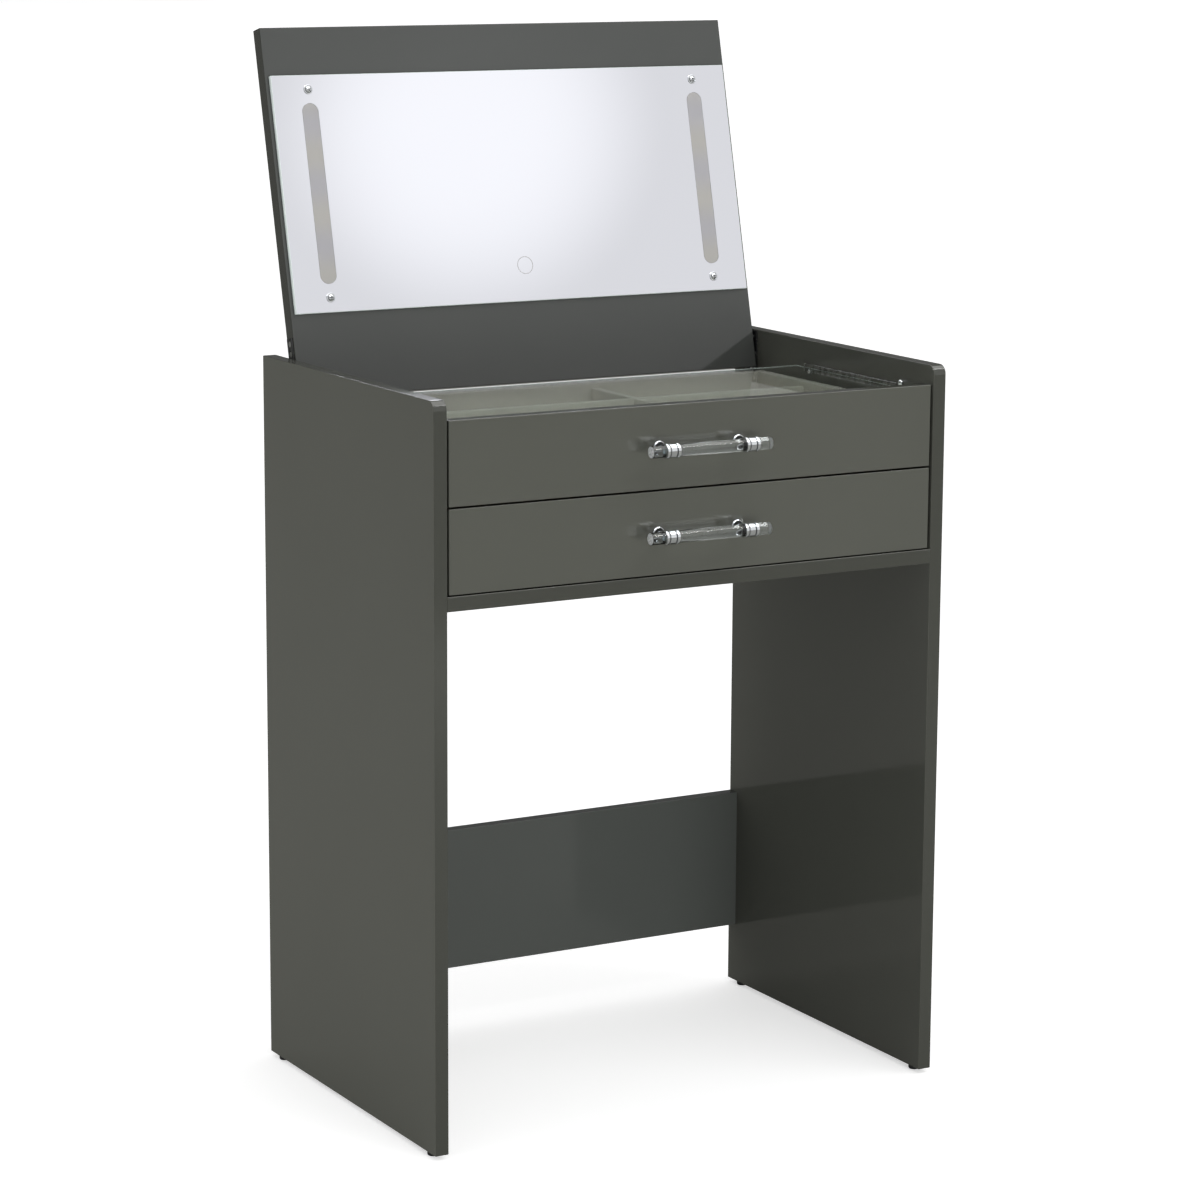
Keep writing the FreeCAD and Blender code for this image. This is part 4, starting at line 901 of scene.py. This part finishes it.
@dataclass
class GlassTray(Assembly):
    """The glass plate with the pins that carry it, the beads over its sides and their bright studs."""

    stud_radius: float = 3.2
    stud_reach: float = 5.0
    stud_shank: float = 1.5
    stud_bite: float = 8.0
    pin_radius: float = 2.5

    def bead(self, side: Side) -> bpy.types.Object:
        """A slim strip whose inner top edge is rounded."""
        low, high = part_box("glass_retaining_beads")
        width = 3.0 * MM
        inner = high.x - width if side is Side.RIGHT else low.x
        strip = block((inner, low.y, low.z), (inner + width, high.y, high.z), 0.9, 4)
        return strip

    def stud(self, side: Side) -> bpy.types.Object:
        """A domed stud that points inwards from a side panel."""
        low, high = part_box("glass_bead_studs")
        face = side.value * (high.x - self.stud_bite * MM)
        middle = (low + high) / 2
        neck = [(self.stud_shank, -self.stud_bite), (self.stud_shank, 0.0), (self.stud_radius - 0.6, 0.0),
                (self.stud_radius - 0.6, 1.4), (self.stud_radius, 1.8)]
        head = dome(self.stud_radius, self.stud_reach - 3.2, 3.2)
        axis = Axis.LEFT if side is Side.RIGHT else Axis.RIGHT
        return turned(neck + head, at(face, middle.y, middle.z) @ axis.turn(), 36)

    def pins(self) -> bpy.types.Object:
        """The four support pins under the plate, with rounded ends."""
        low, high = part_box("glass_support_pins")
        z = (low.z + high.z) / 2
        radius = self.pin_radius
        rings = [(radius - 0.4, 0.0), (radius, 0.4), (radius, 12.0), (radius - 0.2, 12.2), (radius, 12.4)]
        rings += dome(radius, 1.2, 14.8)
        pins = []
        for side in Side:
            axis = Axis.LEFT if side is Side.RIGHT else Axis.RIGHT
            for y in (low.y + radius * MM, high.y - radius * MM):
                pins.append(turned(rings, at(side.value * high.x, y, z) @ axis.turn(), 28))
        return joined(pins)

    def plate(self) -> bpy.types.Object:
        """The plate with its ground and eased edges."""
        plate = eased(self.frame["nodes"]["glass_top"], 0.5)
        for finish in (GLASS, EDGE):
            plate.data.materials.append(finish.material())
        for face in plate.data.polygons:
            face.material_index = 0 if abs(face.normal.z) > 0.99 else 1
        return plate

    def build(self) -> None:
        """Makes the plate and its trim."""
        self.hand_over(self.plate(), "glass_plate", "case", GLASS, "glass", ["glass_top"])
        beads = joined([self.bead(side) for side in Side])
        self.hand_over(beads, "glass_bead_pair", "case", DARK_GREY, "bead_plastic", ["glass_retaining_beads"])
        studs = joined([self.stud(side) for side in Side])
        self.hand_over(studs, "bead_stud_pair", "case", CHROME, "chrome", ["glass_bead_studs"])
        self.hand_over(self.pins(), "glass_pin_set", "case", CHROME, "chrome", ["glass_support_pins"])


# ---- drawers ---------------------------------------------------------------------------------------


@dataclass
class DrawerSlides(Assembly):
    """Ball slides: members with rolled edges, and cages that hold the balls."""

    fold: float = 0.5

    def build(self) -> None:
        """Rounds the members' folds and dresses the cages and the balls."""
        for name in self.node_names("slide_outer", "slide_inner"):
            body = "case" if name.endswith("outer") else f"{name.split('_')[0]}_drawer"
            member = eased(self.frame["nodes"][name], self.fold)
            self.hand_over(member, f"{name}_member", body, ZINC, "zinc_steel", [name])
        self.dress(self.node_names("slide_retainers"), ZINC)


@dataclass
class BarHandle(Assembly):
    """A clear bar in two collared posts.

    The label is that of the drawer whose front carries the handle.
    """

    label: str = "upper"
    bar_radius: float = 6.25
    bar_length: float = 140.0
    standoff: float = 25.5
    spacing: float = 93.0
    stem_radius: float = 3.75
    flange_radius: float = 7.2
    flange_height: float = 3.0
    ring_radius: float = 8.0
    ring_width: float = 3.4
    groove_width: float = 1.1
    groove_radius: float = 6.7
    band_radius: float = 7.5
    collar_width: float = 15.6

    @property
    def body(self) -> str:
        """The body that the handle rides on."""
        return f"{self.label}_drawer"

    def centre(self) -> Vector:
        """The middle of the bar's axis."""
        low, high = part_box(f"{self.label}_handle_bar")
        return (low + high) / 2

    def bar(self) -> bpy.types.Object:
        """The acrylic rod with polished, slightly rounded ends."""
        radius, length = self.bar_radius, self.bar_length
        rings = [(radius - 0.9, 0.0), (radius - 0.4, 0.15), (radius - 0.12, 0.4), (radius, 0.9)]
        rings += [(ring, length - height) for ring, height in reversed(rings)]
        middle = self.centre()
        start = at(middle.x - length / 2 * MM, middle.y, middle.z)
        rod = turned(rings, start @ Axis.RIGHT.turn(), 96)
        for finish in (ACRYLIC, ROD_END):
            rod.data.materials.append(finish.material())
        for face in rod.data.polygons:
            face.material_index = 1 if abs(face.normal.x) > 0.9 else 0
        return rod

    def collar(self) -> list[tuple[float, float]]:
        """Rings of the collar: two rounded beads and a band, with a groove on each side of the band, which the
        post paints black as shade.
        """
        ring, floor, width = self.ring_radius, self.groove_radius, self.ring_width
        bead = [(ring - 0.9, 0.0), (ring - 0.35, 0.2), (ring - 0.08, 0.8), (ring, width / 2),
                (ring - 0.08, width - 0.8), (ring - 0.35, width - 0.2), (ring - 0.9, width)]
        band_start = width + self.groove_width
        groove = [(floor, width + 0.1), (floor, band_start - 0.1)]
        band = [(self.band_radius - 0.4, band_start), (self.band_radius, band_start + 0.5)]
        half = bead + groove + band
        return half + [(radius, self.collar_width - height) for radius, height in reversed(half)]

    def post(self, x: float) -> bpy.types.Object:
        """One post: a domed base on the front, a stem and the collar round the bar, with painted shade in
        black plastic on the collar's grooves and in the cup of the base.

        Args:
            x: the place of its axis, in metres.

        Returns:
            The new object.
        """
        middle = self.centre()
        face = middle.y + self.standoff * MM
        stem = self.stem_radius
        rim, top = self.flange_radius, self.flange_height
        base = [(rim - 0.3, 0.0), (rim, 0.3), (rim, top - 1.0), (rim - 0.25, top - 0.4), (rim - 0.8, top),
                (rim - 1.3, top - 0.15), (rim - 1.5, top - 0.6), (rim - 1.6, 0.8), (stem + 0.05, 0.7)]
        base.append((stem, self.standoff - self.bar_radius - 0.15))
        upright = turned(base, at(x, face, middle.z) @ Axis.FRONT.turn(), 56)
        start = at(x - self.collar_width / 2 * MM, middle.y, middle.z)
        collar = turned(self.collar(), start @ Axis.RIGHT.turn(), 64)
        bore = [(self.bar_radius + 0.05, -2.0), (self.bar_radius + 0.05, self.collar_width + 2.0)]
        carve(collar, turned(bore, start @ Axis.RIGHT.turn(), 64))
        post = joined([upright, collar])
        # Black plastic on the grooves and in the cup is painted shade.
        for finish in (CHROME, BLACK):
            post.data.materials.append(finish.material())
        shaded_cup_span = (face - (top - 0.5) * MM, face - 0.5 * MM)
        for polygon in post.data.polygons:
            middle_x, height = abs(polygon.center.x - x) / MM, polygon.center.z - middle.z
            from_bar = math.hypot(polygon.center.y - middle.y, height) / MM
            in_shaded_groove = self.bar_radius + 0.3 < from_bar < self.groove_radius + 0.1
            from_stem = math.hypot(polygon.center.x - x, height) / MM
            in_shaded_cup = shaded_cup_span[0] < polygon.center.y < shaded_cup_span[1] and stem + 0.2 < from_stem < rim - 1.4
            polygon.material_index = int((in_shaded_groove and middle_x < self.collar_width / 2 - 1.0) or in_shaded_cup)
        return smooth(post, 40.0)

    def screws(self) -> bpy.types.Object:
        """Two pan-head screws with a driver cross, seen inside the drawer."""
        low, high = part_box(f"{self.label}_handle_screws")
        z = (low.z + high.z) / 2
        made = []
        for side in Side:
            x = side.value * self.spacing / 2 * MM
            length = (high.y - low.y) / MM
            rings = [(1.6, 0.0), (2.0, 0.6), (2.0, length - 2.4), (4.0, length - 2.4), (4.0, length - 1.2)]
            rings += dome(4.0, 1.2, length - 1.2, 5)
            screw = turned(rings, at(x, low.y, z) @ Axis.BACK.turn(), 32)
            for turn in (0.0, 90.0):
                bar = block((-2.2 * MM, -1.5 * MM, -0.4 * MM), (2.2 * MM, 0.6 * MM, 0.4 * MM), 0.1, 1)
                settle(bar, at(x, high.y, z) @ Matrix.Rotation(math.radians(turn), 4, "Y"))
                carve(screw, bar)
            made.append(smooth(screw))
        return joined(made)

    def build(self) -> None:
        """Makes the bar, the posts and the screws."""
        self.hand_over(self.bar(), f"{self.label}_clear_bar", self.body, ACRYLIC, "acrylic",
                       [f"{self.label}_handle_bar"])
        for side in Side:
            post = self.post(side.value * self.spacing / 2 * MM)
            self.hand_over(post, f"{self.label}_{side.label}_collared_post", self.body, CHROME, "chrome",
                           [f"{self.label}_{side.label}_handle_post"])
        self.hand_over(self.screws(), f"{self.label}_pan_screw_pair", self.body, ZINC, "zinc_steel",
                       [f"{self.label}_handle_screws"])


@dataclass
class Drawer(Assembly):
    """A drawer: lacquered front, foiled box and, in the upper one, dividers."""

    label: str = "upper"
    board_edge: float = 0.5

    def build(self) -> None:
        """Dresses the front and the boards, then makes the handle."""
        self.dress([f"{self.label}_drawer_front"], LACQUER)
        wooden = [name for name in self.node_names("_left_side", "_right_side", "_back", "_bottom", "_divider")
                  if name.startswith(f"{self.label}_")]
        for name in wooden:
            board = eased(self.frame["nodes"][name], self.board_edge)
            self.hand_over(board, f"{name}_board", f"{self.label}_drawer", LINER, "drawer_liner", [name])
        BarHandle(self.frame, self.label).build()


# ---- lid -------------------------------------------------------------------------------------------


@dataclass
class LidPart(Assembly):
    """A sub-assembly that is modelled upright about the pivot line and then leant back with the lid."""

    half_thickness: float = 8.5
    foot: float = -34.0
    mirror_lift: float = 87.8
    mirror_thickness: float = 5.0
    mirror_height: float = 252.0
    mirror_width: float = 554.5

    @property
    def lean(self) -> Matrix:
        """From the upright lid's frame to the row's frame."""
        pivot = next(joint["pos_m"] for joint in self.frame["joints"] if joint["name"] == "lid_hinge")
        return Matrix.Translation(pivot) @ Matrix.Rotation(math.radians(-LID_LEAN), 4, "X")

    @property
    def mirror_low(self) -> float:
        """The height of the mirror's lower edge above the pivot line."""
        return self.foot + self.mirror_lift

    @property
    def mirror_face(self) -> float:
        """The y of the mirror's front face from the pivot line."""
        return -self.half_thickness - self.mirror_thickness

    def spot(self, x: float, y: float, z: float) -> Matrix:
        """A place on the lid from millimetres in its own frame."""
        return self.lean @ at(x * MM, y * MM, z * MM)


@dataclass
class LitMirror(LidPart):
    """The mirror plate with two etched windows, a touch ring and four screw caps."""

    window_width: float = 19.0
    window_length: float = 192.0
    window_spread: float = 471.0
    window_groove: float = 0.25
    cap_radius: float = 5.0
    cap_height: float = 2.6
    cap_margin: float = 15.5
    ring_radius: float = 9.5
    ring_width: float = 0.55
    ring_lift: float = 39.0

    def window_place(self, side: Side, depth: float) -> Matrix:
        """The middle of a window, depth millimetres behind the mirror's face."""
        middle = self.mirror_low + self.mirror_height / 2
        return at(side.value * self.window_spread / 2 * MM, (self.mirror_face + depth) * MM, middle * MM)

    def plate(self) -> bpy.types.Object:
        """The mirror with ground edges and with room for the windows."""
        half = self.mirror_width / 2 * MM
        low, high = self.mirror_low * MM, (self.mirror_low + self.mirror_height) * MM
        plate = block((-half, self.mirror_face * MM, low), (half, -self.half_thickness * MM, high), 0.7, 2)
        for side in Side:
            cutter = long_round(self.window_width, self.window_length, 2.0)
            settle(cutter, self.window_place(side, 0.0))
            carve(plate, cutter)
        plate.data.materials.clear()
        for finish in (MIRROR, EDGE):
            plate.data.materials.append(finish.material())
        for face in plate.data.polygons:
            face.material_index = 0 if face.normal.y < -0.99 and face.area > 1e-4 else 1
        return settle(flattened(smooth(plate)), self.lean)

    def window(self, side: Side) -> bpy.types.Object:
        """One etched window, flush with the mirror's face."""
        groove = self.window_groove
        pane = long_round(self.window_width - 2 * groove, self.window_length - 2 * groove, 0.9)
        bevelled(pane, 0.15, 1)
        settle(pane, self.window_place(side, 0.47))
        return flattened(smooth(settle(pane, self.lean)), 5.0)

    def touch_ring(self) -> bpy.types.Object:
        """The fine etched ring round the touch spot."""
        outer, inner = self.ring_radius, self.ring_radius - self.ring_width
        y, z = self.mirror_face, self.mirror_low + self.ring_lift
        ring = turned([(outer, 0.0), (outer, 0.05)], at(0, y * MM, z * MM) @ Axis.FRONT.turn(), 64)
        hole = turned([(inner, -1.0), (inner, 1.0)], at(0, y * MM, z * MM) @ Axis.FRONT.turn(), 64)
        carve(ring, hole)
        return settle(ring, self.lean)

    def cap(self, x: float, z: float) -> bpy.types.Object:
        """A screw cap on the mirror's face: a flat rim round a domed head with a driver cross; the cross and
        the groove round the head are black, which is painted shade.
        """
        radius = self.cap_radius
        button = radius - 1.5
        rings = [(radius - 0.2, 0.0), (radius, 0.2), (radius, 0.6), (radius - 0.3, 0.9), (radius - 1.0, 1.0),
                 (radius - 1.2, 0.7), (button, 0.7), (button, 1.1)]
        rings += dome(button, self.cap_height - 1.1, 1.1)
        cap = turned(rings, Matrix.Identity(4), 40)
        reach, half = (button - 0.9) * MM, 0.45 * MM
        for low, high in (((-reach, -half), (reach, half)), ((-half, -reach), (half, reach))):
            slot = block((*low, (self.cap_height - 0.9) * MM), (*high, (self.cap_height + 1.0) * MM), 0.05, 1)
            carve(cap, slot)
        # The cross and the groove round the head get black plastic: painted shade.
        for finish in (CHROME, BLACK):
            cap.data.materials.append(finish.material())
        for face in cap.data.polygons:
            across = max(abs(face.center.x), abs(face.center.y))
            in_shaded_cross = min(abs(face.center.x), abs(face.center.y)) < half * 1.01 and across < reach * 1.01
            steep = face.normal.z < 0.2 or face.center.z < (self.cap_height - 0.85) * MM
            in_shaded_ring = abs(face.center.z - 0.7 * MM) < 0.05 * MM and across > button * 0.7 * MM
            face.material_index = int((in_shaded_cross and steep) or in_shaded_ring)
        smooth(cap)
        return settle(cap, self.spot(x, self.mirror_face, z) @ Axis.FRONT.turn())

    def build(self) -> None:
        """Makes the visible pieces and dresses what lies behind the mirror."""
        self.hand_over(self.plate(), "lit_mirror_plate", "lid", MIRROR, "mirror", ["mirror_plate"])
        for side in Side:
            self.hand_over(self.window(side), f"{side.label}_light_window", "lid", WINDOW, "diffuser")
        self.hand_over(self.touch_ring(), "touch_ring", "lid", WINDOW, "diffuser")
        low = self.mirror_low + self.cap_margin
        high = self.mirror_low + self.mirror_height - self.cap_margin
        caps = [self.cap(side.value * self.window_spread / 2, z) for side in Side for z in (low, high)]
        self.hand_over(joined(caps), "mirror_cap_set", "lid", CHROME, "chrome", ["mirror_screw_caps"])
        self.dress(["led_strips"], WHITE_BOARD)
        self.dress(["led_diffusers"], OPAL)
        self.dress(["led_wiring"], SHEATH)
        self.dress(["touch_switch"], BLACK)
        self.dress(["mirror_screws"], ZINC)


@dataclass
class Lid(LidPart):
    """The lid board, its power inlet and the hinge metal at its lower corners."""

    inlet_radius: float = 4.0
    socket_radius: float = 2.75
    inlet_length: float = 9.0
    inlet_height: float = 68.8
    plate_edge: float = 0.25
    stop_reach: float = 0.97

    def inlet(self) -> bpy.types.Object:
        """The round inlet in the back of the lid."""
        outer, inner, length = self.inlet_radius, self.socket_radius, self.inlet_length
        rings = [(outer, 0.0), (outer, length - 0.5), (outer - 0.4, length), (inner + 0.3, length),
                 (inner, length - 0.4), (inner, length - 7.0), (0.3, length - 7.0)]
        start = self.half_thickness - length
        return turned(rings, self.spot(0.0, start, self.inlet_height) @ Axis.BACK.turn(), 40)

    def build(self) -> None:
        """Makes the inlet and dresses the board and the hinges."""
        self.dress(["lid_panel"], LID_SHADED_LACQUER)
        self.hand_over(self.inlet(), "round_power_inlet", "lid", BLACK, "black_plastic", ["power_inlet"])
        for name in self.node_names("hinge_plate"):
            body = "lid" if "_lid_" in name else "case"
            plate = eased(self.frame["nodes"][name], self.plate_edge)
            # The plates are near-black: painted shade for the gap between the lid and the side panels.
            for finish in (GAP_SHADE_ENAMEL, ZINC):
                plate.data.materials.append(finish.material())
            outermost = max(abs(corner.x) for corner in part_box(name))
            if body == "lid":
                for face in plate.data.polygons:
                    face.material_index = int(abs(face.center.x) > outermost - self.stop_reach * MM)
            self.hand_over(plate, f"{name}_pressed", body, GAP_SHADE_ENAMEL, "black_steel", [name])
        self.dress(self.node_names("hinge_pins"), CHROME)
        self.dress(self.node_names("hinge_screws"), ZINC)


# ---- studio ----------------------------------------------------------------------------------------


@dataclass(frozen=True)
class Lamp:
    """A soft lamp that points at the table."""

    name: str
    place: tuple[float, float, float]
    width: float
    height: float
    power: float
    mirrored: bool = False

    def build(self) -> None:
        """Hangs the lamp; only a mirrored one shows in glossy surfaces."""
        data = bpy.data.lights.new(self.name, "AREA")
        data.shape = "RECTANGLE" if self.mirrored else "ELLIPSE"
        data.size, data.size_y = self.width, self.height
        data.energy = self.power
        light = bpy.data.objects.new(self.name, data)
        bpy.context.scene.collection.objects.link(light)
        aim = Vector((0.0, 0.0, 0.6)) - Vector(self.place)
        turn = aim.to_track_quat("-Z", "Y").to_matrix().to_4x4()
        light.matrix_world = Matrix.Translation(self.place) @ turn
        light.visible_glossy = self.mirrored


@dataclass
class Studio:
    """A pale floor, a white surround that is dim behind the table, soft lamps and the camera."""

    camera_place: tuple[float, float, float] = (-1.9388, -3.4236, 1.2775)
    heading: float = 29.592
    pitch: float = -11.016
    roll: float = 0.309
    lens: float = 112.95
    ambient: float = 0.66
    front_direction: tuple[float, float, float] = (0.35, -0.93, 0.1)
    front_level: float = 0.9
    back_level: float = 0.12
    overhead: float = 2.2
    glow_direction: tuple[float, float, float] = (0.461, -0.8192, 0.3411)
    glow_reach: float = 3.1
    glow: float = 0.31
    lamps: tuple[Lamp, ...] = (
        Lamp("left_lamp", (-3.4, 0.15, 0.36), 1.2, 0.7, 28.0),
        Lamp("front_lamp", (0.2, -2.8, 0.4), 1.4, 0.7, 33.0),
        Lamp("overhead_strip", (0.7, -1.6, 2.7), 2.6, 0.1, 17.0, True),
    )

    def build_camera(self) -> None:
        """Sets the camera at its place, upright but for a trace of roll."""
        data = bpy.data.cameras.new("studio_camera")
        data.lens = self.lens
        data.sensor_width = 36.0
        data.clip_end = 100.0
        camera = bpy.data.objects.new("studio_camera", data)
        bpy.context.scene.collection.objects.link(camera)
        heading, pitch, roll = (math.radians(a) for a in (self.heading, self.pitch, self.roll))
        forward = Vector((math.sin(heading) * math.cos(pitch), math.cos(heading) * math.cos(pitch),
                          math.sin(pitch)))
        right = Vector((math.cos(heading), -math.sin(heading), 0.0))
        up = right.cross(forward)
        turned_right = right * math.cos(roll) + up * math.sin(roll)
        turned_up = up * math.cos(roll) - right * math.sin(roll)
        turn = Matrix((turned_right, turned_up, -forward)).transposed()
        camera.matrix_world = Matrix.Translation(self.camera_place) @ turn.to_4x4()
        bpy.context.scene.camera = camera

    def build_floor(self) -> None:
        """Lays a large pale floor that looks white and throws little light on glossy pieces."""
        clear_selection()
        bpy.ops.mesh.primitive_plane_add(size=60.0)
        floor = bpy.context.object
        floor.name = "studio_floor"
        made = bpy.data.materials.new("pale_studio_floor")
        made.use_nodes = True
        tree = made.node_tree
        tree.nodes.clear()
        ray = add_node(tree, "ShaderNodeLightPath").outputs
        mirrored = add_node(tree, "ShaderNodeMath",
                            {0: ray["Is Glossy Ray"], 1: ray["Is Transmission Ray"]}, operation="SUBTRACT",
                            use_clamp=True)
        seen = add_node(tree, "ShaderNodeMath", {0: ray["Is Camera Ray"], 1: 0.5}, operation="MULTIPLY")
        pale = add_node(tree, "ShaderNodeBsdfPrincipled",
                        {"Base Color": linear("#f2f2f2"), "Roughness": 0.9, "Specular IOR Level": 0.1,
                         "Emission Color": linear("#ffffff"), "Emission Strength": seen.outputs[0]})
        dim = add_node(tree, "ShaderNodeBsdfDiffuse", {"Color": linear("#a0a09c")})
        mix = add_node(tree, "ShaderNodeMixShader",
                       {0: mirrored.outputs[0], 1: pale.outputs["BSDF"], 2: dim.outputs["BSDF"]})
        add_node(tree, "ShaderNodeOutputMaterial", {"Surface": mix.outputs["Shader"]})
        floor.data.materials.append(made)

    def toward(self, tree: bpy.types.NodeTree, aim: tuple[float, float, float], start: float, end: float,
               level: float, easing: str = "SMOOTHSTEP") -> bpy.types.NodeSocket:
        """Light that grows toward one direction.

        Args:
            tree: the world's node tree.
            aim: the direction of the light.
            start: the cosine of the angle to the aim at which the light starts.
            end: the cosine at which it is full.
            level: the full strength.
            easing: how it grows.

        Returns:
            The strength socket.
        """
        direction = add_node(tree, "ShaderNodeTexCoord").outputs["Generated"]
        near = add_node(tree, "ShaderNodeVectorMath", {0: direction, 1: Vector(aim).normalized()},
                        operation="DOT_PRODUCT")
        lobe = add_node(tree, "ShaderNodeMapRange",
                        {"Value": near.outputs["Value"], "From Min": start, "From Max": end,
                         "To Min": 0.0, "To Max": level}, interpolation_type=easing)
        return lobe.outputs["Result"]

    def build_world(self) -> None:
        """Surrounds the table with white, which glossy pieces see dim behind and bright in front."""
        world = bpy.data.worlds.new("white_surround")
        bpy.context.scene.world = world
        world.use_nodes = True
        tree = world.node_tree
        tree.nodes.clear()
        front = self.toward(tree, self.front_direction, -0.2, 0.55, self.front_level - self.back_level)
        above = self.toward(tree, (0.0, 0.0, 1.0), 0.7, 0.8, self.overhead)
        glow = self.toward(tree, self.glow_direction, math.cos(math.radians(self.glow_reach)), 1.0,
                           self.glow)
        level = add_node(tree, "ShaderNodeMath", {0: front, 1: above}, operation="ADD")
        level = add_node(tree, "ShaderNodeMath", {0: level.outputs[0], 1: glow}, operation="ADD")
        level = add_node(tree, "ShaderNodeMath", {0: level.outputs[0], 1: self.back_level},
                         operation="ADD")
        ray = add_node(tree, "ShaderNodeLightPath").outputs
        gloss = add_node(tree, "ShaderNodeMix", {0: ray["Is Glossy Ray"], 2: self.ambient,
                                                 3: level.outputs[0]})
        # Light that a pane reflects inside itself has to meet the same dim back as its outer face does.
        behind = self.toward(tree, (0.0, 1.0, 0.0), 0.0, 0.05, 1.0)
        bounced = add_node(tree, "ShaderNodeMath", {0: ray["Glossy Depth"], 1: behind},
                           operation="MULTIPLY", use_clamp=True)
        through = add_node(tree, "ShaderNodeMath",
                           {0: ray["Is Transmission Ray"], 1: bounced.outputs[0]}, operation="SUBTRACT",
                           use_clamp=True)
        direct = add_node(tree, "ShaderNodeMath", {0: ray["Is Camera Ray"], 1: through.outputs[0]},
                          operation="MAXIMUM")
        shown = add_node(tree, "ShaderNodeMix", {0: direct.outputs[0], 2: gloss.outputs[0], 3: 1.0})
        white = add_node(tree, "ShaderNodeBackground", {"Color": linear("#ffffff"),
                                                        "Strength": shown.outputs[0]})
        add_node(tree, "ShaderNodeOutputWorld", {"Surface": white.outputs["Background"]})

    def build(self) -> None:
        """Sets up the whole studio."""
        scene = bpy.context.scene
        scene.view_settings.view_transform = "Standard"
        scene.view_settings.look = "None"
        self.build_camera()
        self.build_floor()
        self.build_world()
        for lamp in self.lamps:
            lamp.build()


def main() -> None:
    """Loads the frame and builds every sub-assembly."""
    logging.basicConfig(level=logging.INFO, format="%(name)s: %(message)s")
    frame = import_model()
    assemblies: list[Assembly] = [
        CaseBoards(frame), FootGlides(frame), CaseFittings(frame), GlassTray(frame), DrawerSlides(frame),
        Drawer(frame, "upper"), Drawer(frame, "lower"), Lid(frame), LitMirror(frame),
    ]
    for assembly in assemblies:
        assembly.build()
    Studio().build()


if __name__ == "__main__":
    main()
